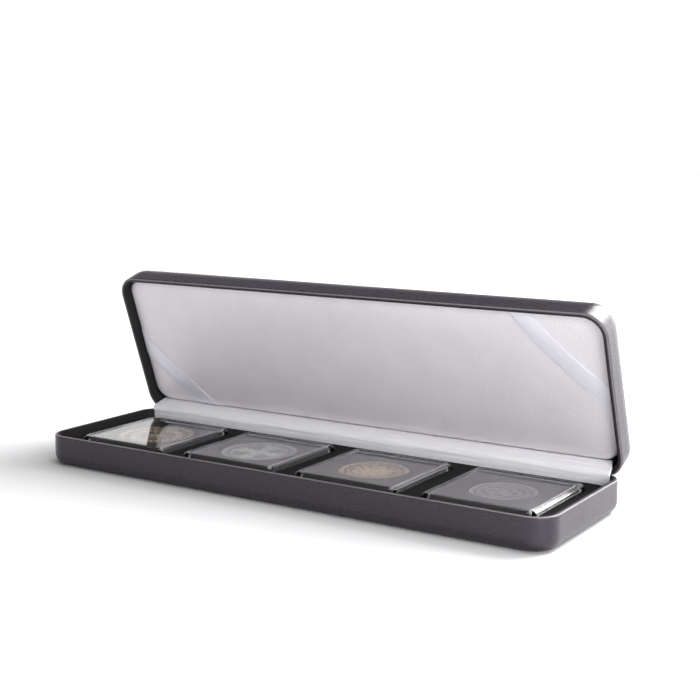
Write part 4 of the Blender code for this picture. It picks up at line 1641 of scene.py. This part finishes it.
@dataclass
class CoinCase:
    """The whole case, built around the frame."""

    frame: dict
    swing: Swing = field(init=False)

    def __post_init__(self) -> None:
        """Read the hinge."""
        self.swing = Swing.of(self.frame["joints"])

    def shut_rim(self) -> float:
        """The height of the lid's rim when shut, a hair above the base's."""
        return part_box("base_cover")[1].z + SHUT_GAP

    def covers(self) -> None:
        """The two leatherette skins."""
        low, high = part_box("base_cover")
        size = (high.x - low.x, high.y - low.y)
        material = Leatherette().material()
        height = high.z - low.z
        base = Cover("base_cover", "base", *size, height, 5.0 * MM, 5.2 * MM, 0.0, 2.1 * MM, 0.4)
        base.build(Placement(), material)
        lid = Cover(
            "lid_cover", "lid", *size, LID_HEIGHT, 10.2 * MM, 11.4 * MM, 0.7 * MM, 0.85 * MM, 1.9
        )
        lid.build(Placement(self.swing, self.shut_rim() + LID_HEIGHT), material)

    def linings(self) -> None:
        """The lid's lining, its ribbons and the gusset."""
        satin = Satin(
            "silver_white_satin", colour=(0.97, 0.935, 0.975), shade=(
                0.46, 0.44, 0.47
            ), roughness=0.40, threads=1500.0, sheen=0.25
        )
        ribbon = Satin(
            "ribbon_satin", colour=(0.82, 0.81, 0.865), shade=(
                0.64, 0.63, 0.69
            ), roughness=0.36, threads=1900.0, sheen=0.3, turned=True
        )
        thread = Satin(
            "ribbon_thread",
            colour=(0.80, 0.79, 0.87),
            shade=(0.66, 0.65, 0.74),
            roughness=0.5,
            threads=2600.0,
            sheen=0.0,
        )
        lining = Lining(self.swing, self.shut_rim())
        lining.build(satin.material())
        ribbon_material, thread_material = ribbon.material(), thread.material()
        right = Ribbon(
            "ribbon_right",
            lining,
            start=(84.6 * MM, -39.5 * MM),
            end=(129.5 * MM, 5.7 * MM),
            width=7.6 * MM,
            bow=1.6 * MM,
        )
        left = Ribbon(
            "ribbon_left",
            lining,
            start=(-129.2 * MM, -4.6 * MM),
            end=(-87.5 * MM, 36.0 * MM),
            width=8.2 * MM,
            bow=-0.9 * MM,
        )
        for piece in (right, left):
            piece.build(ribbon_material, thread_material)
        gusset = Satin(
            "gusset_satin", colour=(0.97, 0.96, 0.99), shade=(
                0.76, 0.75, 0.79
            ), roughness=0.5, threads=1300.0, sheen=0.1, turned=True
        )
        Gusset(self.swing, self.shut_rim(), lining).build(gusset.material())

    def insert(self) -> None:
        """The flocked frame, and the flocked floor under the capsules."""
        flock = Flock().material()
        low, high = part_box("insert_frame")
        middles = []
        for k in range(1, 5):
            a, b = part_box(f"capsule_base_{k}")
            middles.append(((a.x + b.x) / 2, (a.y + b.y) / 2))
        InsertFrame(low, high, middles).build(flock)
        dress(self.frame["nodes"]["insert_floor"], flock)

    def capsules(self) -> None:
        """The four capsules with their coins."""
        plastic = ClearPlastic().material()
        foam = Foam("black_foam", (0.035, 0.033, 0.036), (0.012, 0.011, 0.012)).material()
        coins = (
            (
                Motif.WREATH,
                64,
                "coin_bronze",
                CoinMetal(
                    "aged_gold_bronze",
                    bright=(0.95, 0.82, 0.60),
                    tarnish=(0.09, 0.065, 0.035),
                    patina=(0.50, 0.42, 0.30),
                    roughness=(0.18, 0.34),
                ),
            ),
            (
                Motif.CROSS,
                72,
                "coin_silver",
                CoinMetal(
                    "bright_silver",
                    bright=(0.98, 0.98, 0.97),
                    tarnish=(0.05, 0.05, 0.055),
                    patina=(0.60, 0.59, 0.57),
                    roughness=(0.14, 0.28),
                ),
            ),
            (
                Motif.ROSETTE,
                56,
                "coin_copper",
                CoinMetal(
                    "golden_copper",
                    bright=(0.98, 0.80, 0.60),
                    tarnish=(0.12, 0.07, 0.04),
                    patina=(0.62, 0.48, 0.36),
                    roughness=(0.16, 0.32),
                ),
            ),
            (
                Motif.QUATREFOIL,
                60,
                "coin_dark_silver",
                CoinMetal(
                    "dull_silver",
                    bright=(0.60, 0.58, 0.58),
                    tarnish=(0.03, 0.03, 0.033),
                    patina=(0.28, 0.27, 0.27),
                    roughness=(0.25, 0.42),
                ),
            ),
        )
        for k, (motif, beads, slot, metal) in enumerate(coins, start=1):
            low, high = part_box(f"coin_{k}")
            Coin(k, low, high, motif, beads).build(metal.material(), slot)
            Capsule(k).build(plastic, foam, (high.x - low.x) / 2)

    def hidden_parts(self) -> None:
        """Finishes for the carried-over nodes: shells, hinge, springs, card and foam."""
        steel = Metal(
            "pressed_steel", colour=(0.34, 0.34, 0.35), stain=(0.20, 0.19, 0.18), roughness=0.36
        ).material()
        spring = Metal(
            "blued_spring_steel", colour=(0.20, 0.22, 0.28), stain=(
                0.14, 0.13, 0.13
            ), roughness=0.28
        ).material()
        card = Card().material()
        foam = Foam("white_foam", (0.84, 0.84, 0.81), (0.66, 0.66, 0.63)).material()
        finishes = {
            "base_shell": steel,
            "lid_shell": steel,
            "hinge_pin": steel,
            "snap_spring_left": spring,
            "snap_spring_right": spring,
            "insert_riser": card,
            "lid_board": card,
            "lid_foam": foam,
        }
        for node, material in finishes.items():
            dress(self.frame["nodes"][node], material)

    def build(self) -> None:
        """Make every part of the case, reporting each."""
        steps = (self.covers, self.insert, self.capsules, self.linings, self.hidden_parts)
        for step in steps:
            step()
            LOG.info("made the %s", step.__name__.replace("_", " "))


def main() -> None:
    """Load the frame, and build the studio and the case."""
    logging.basicConfig(level=logging.INFO, format="%(name)s: %(message)s")
    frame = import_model()
    Studio().build()
    CoinCase(frame).build()


if __name__ == "__main__":
    main()
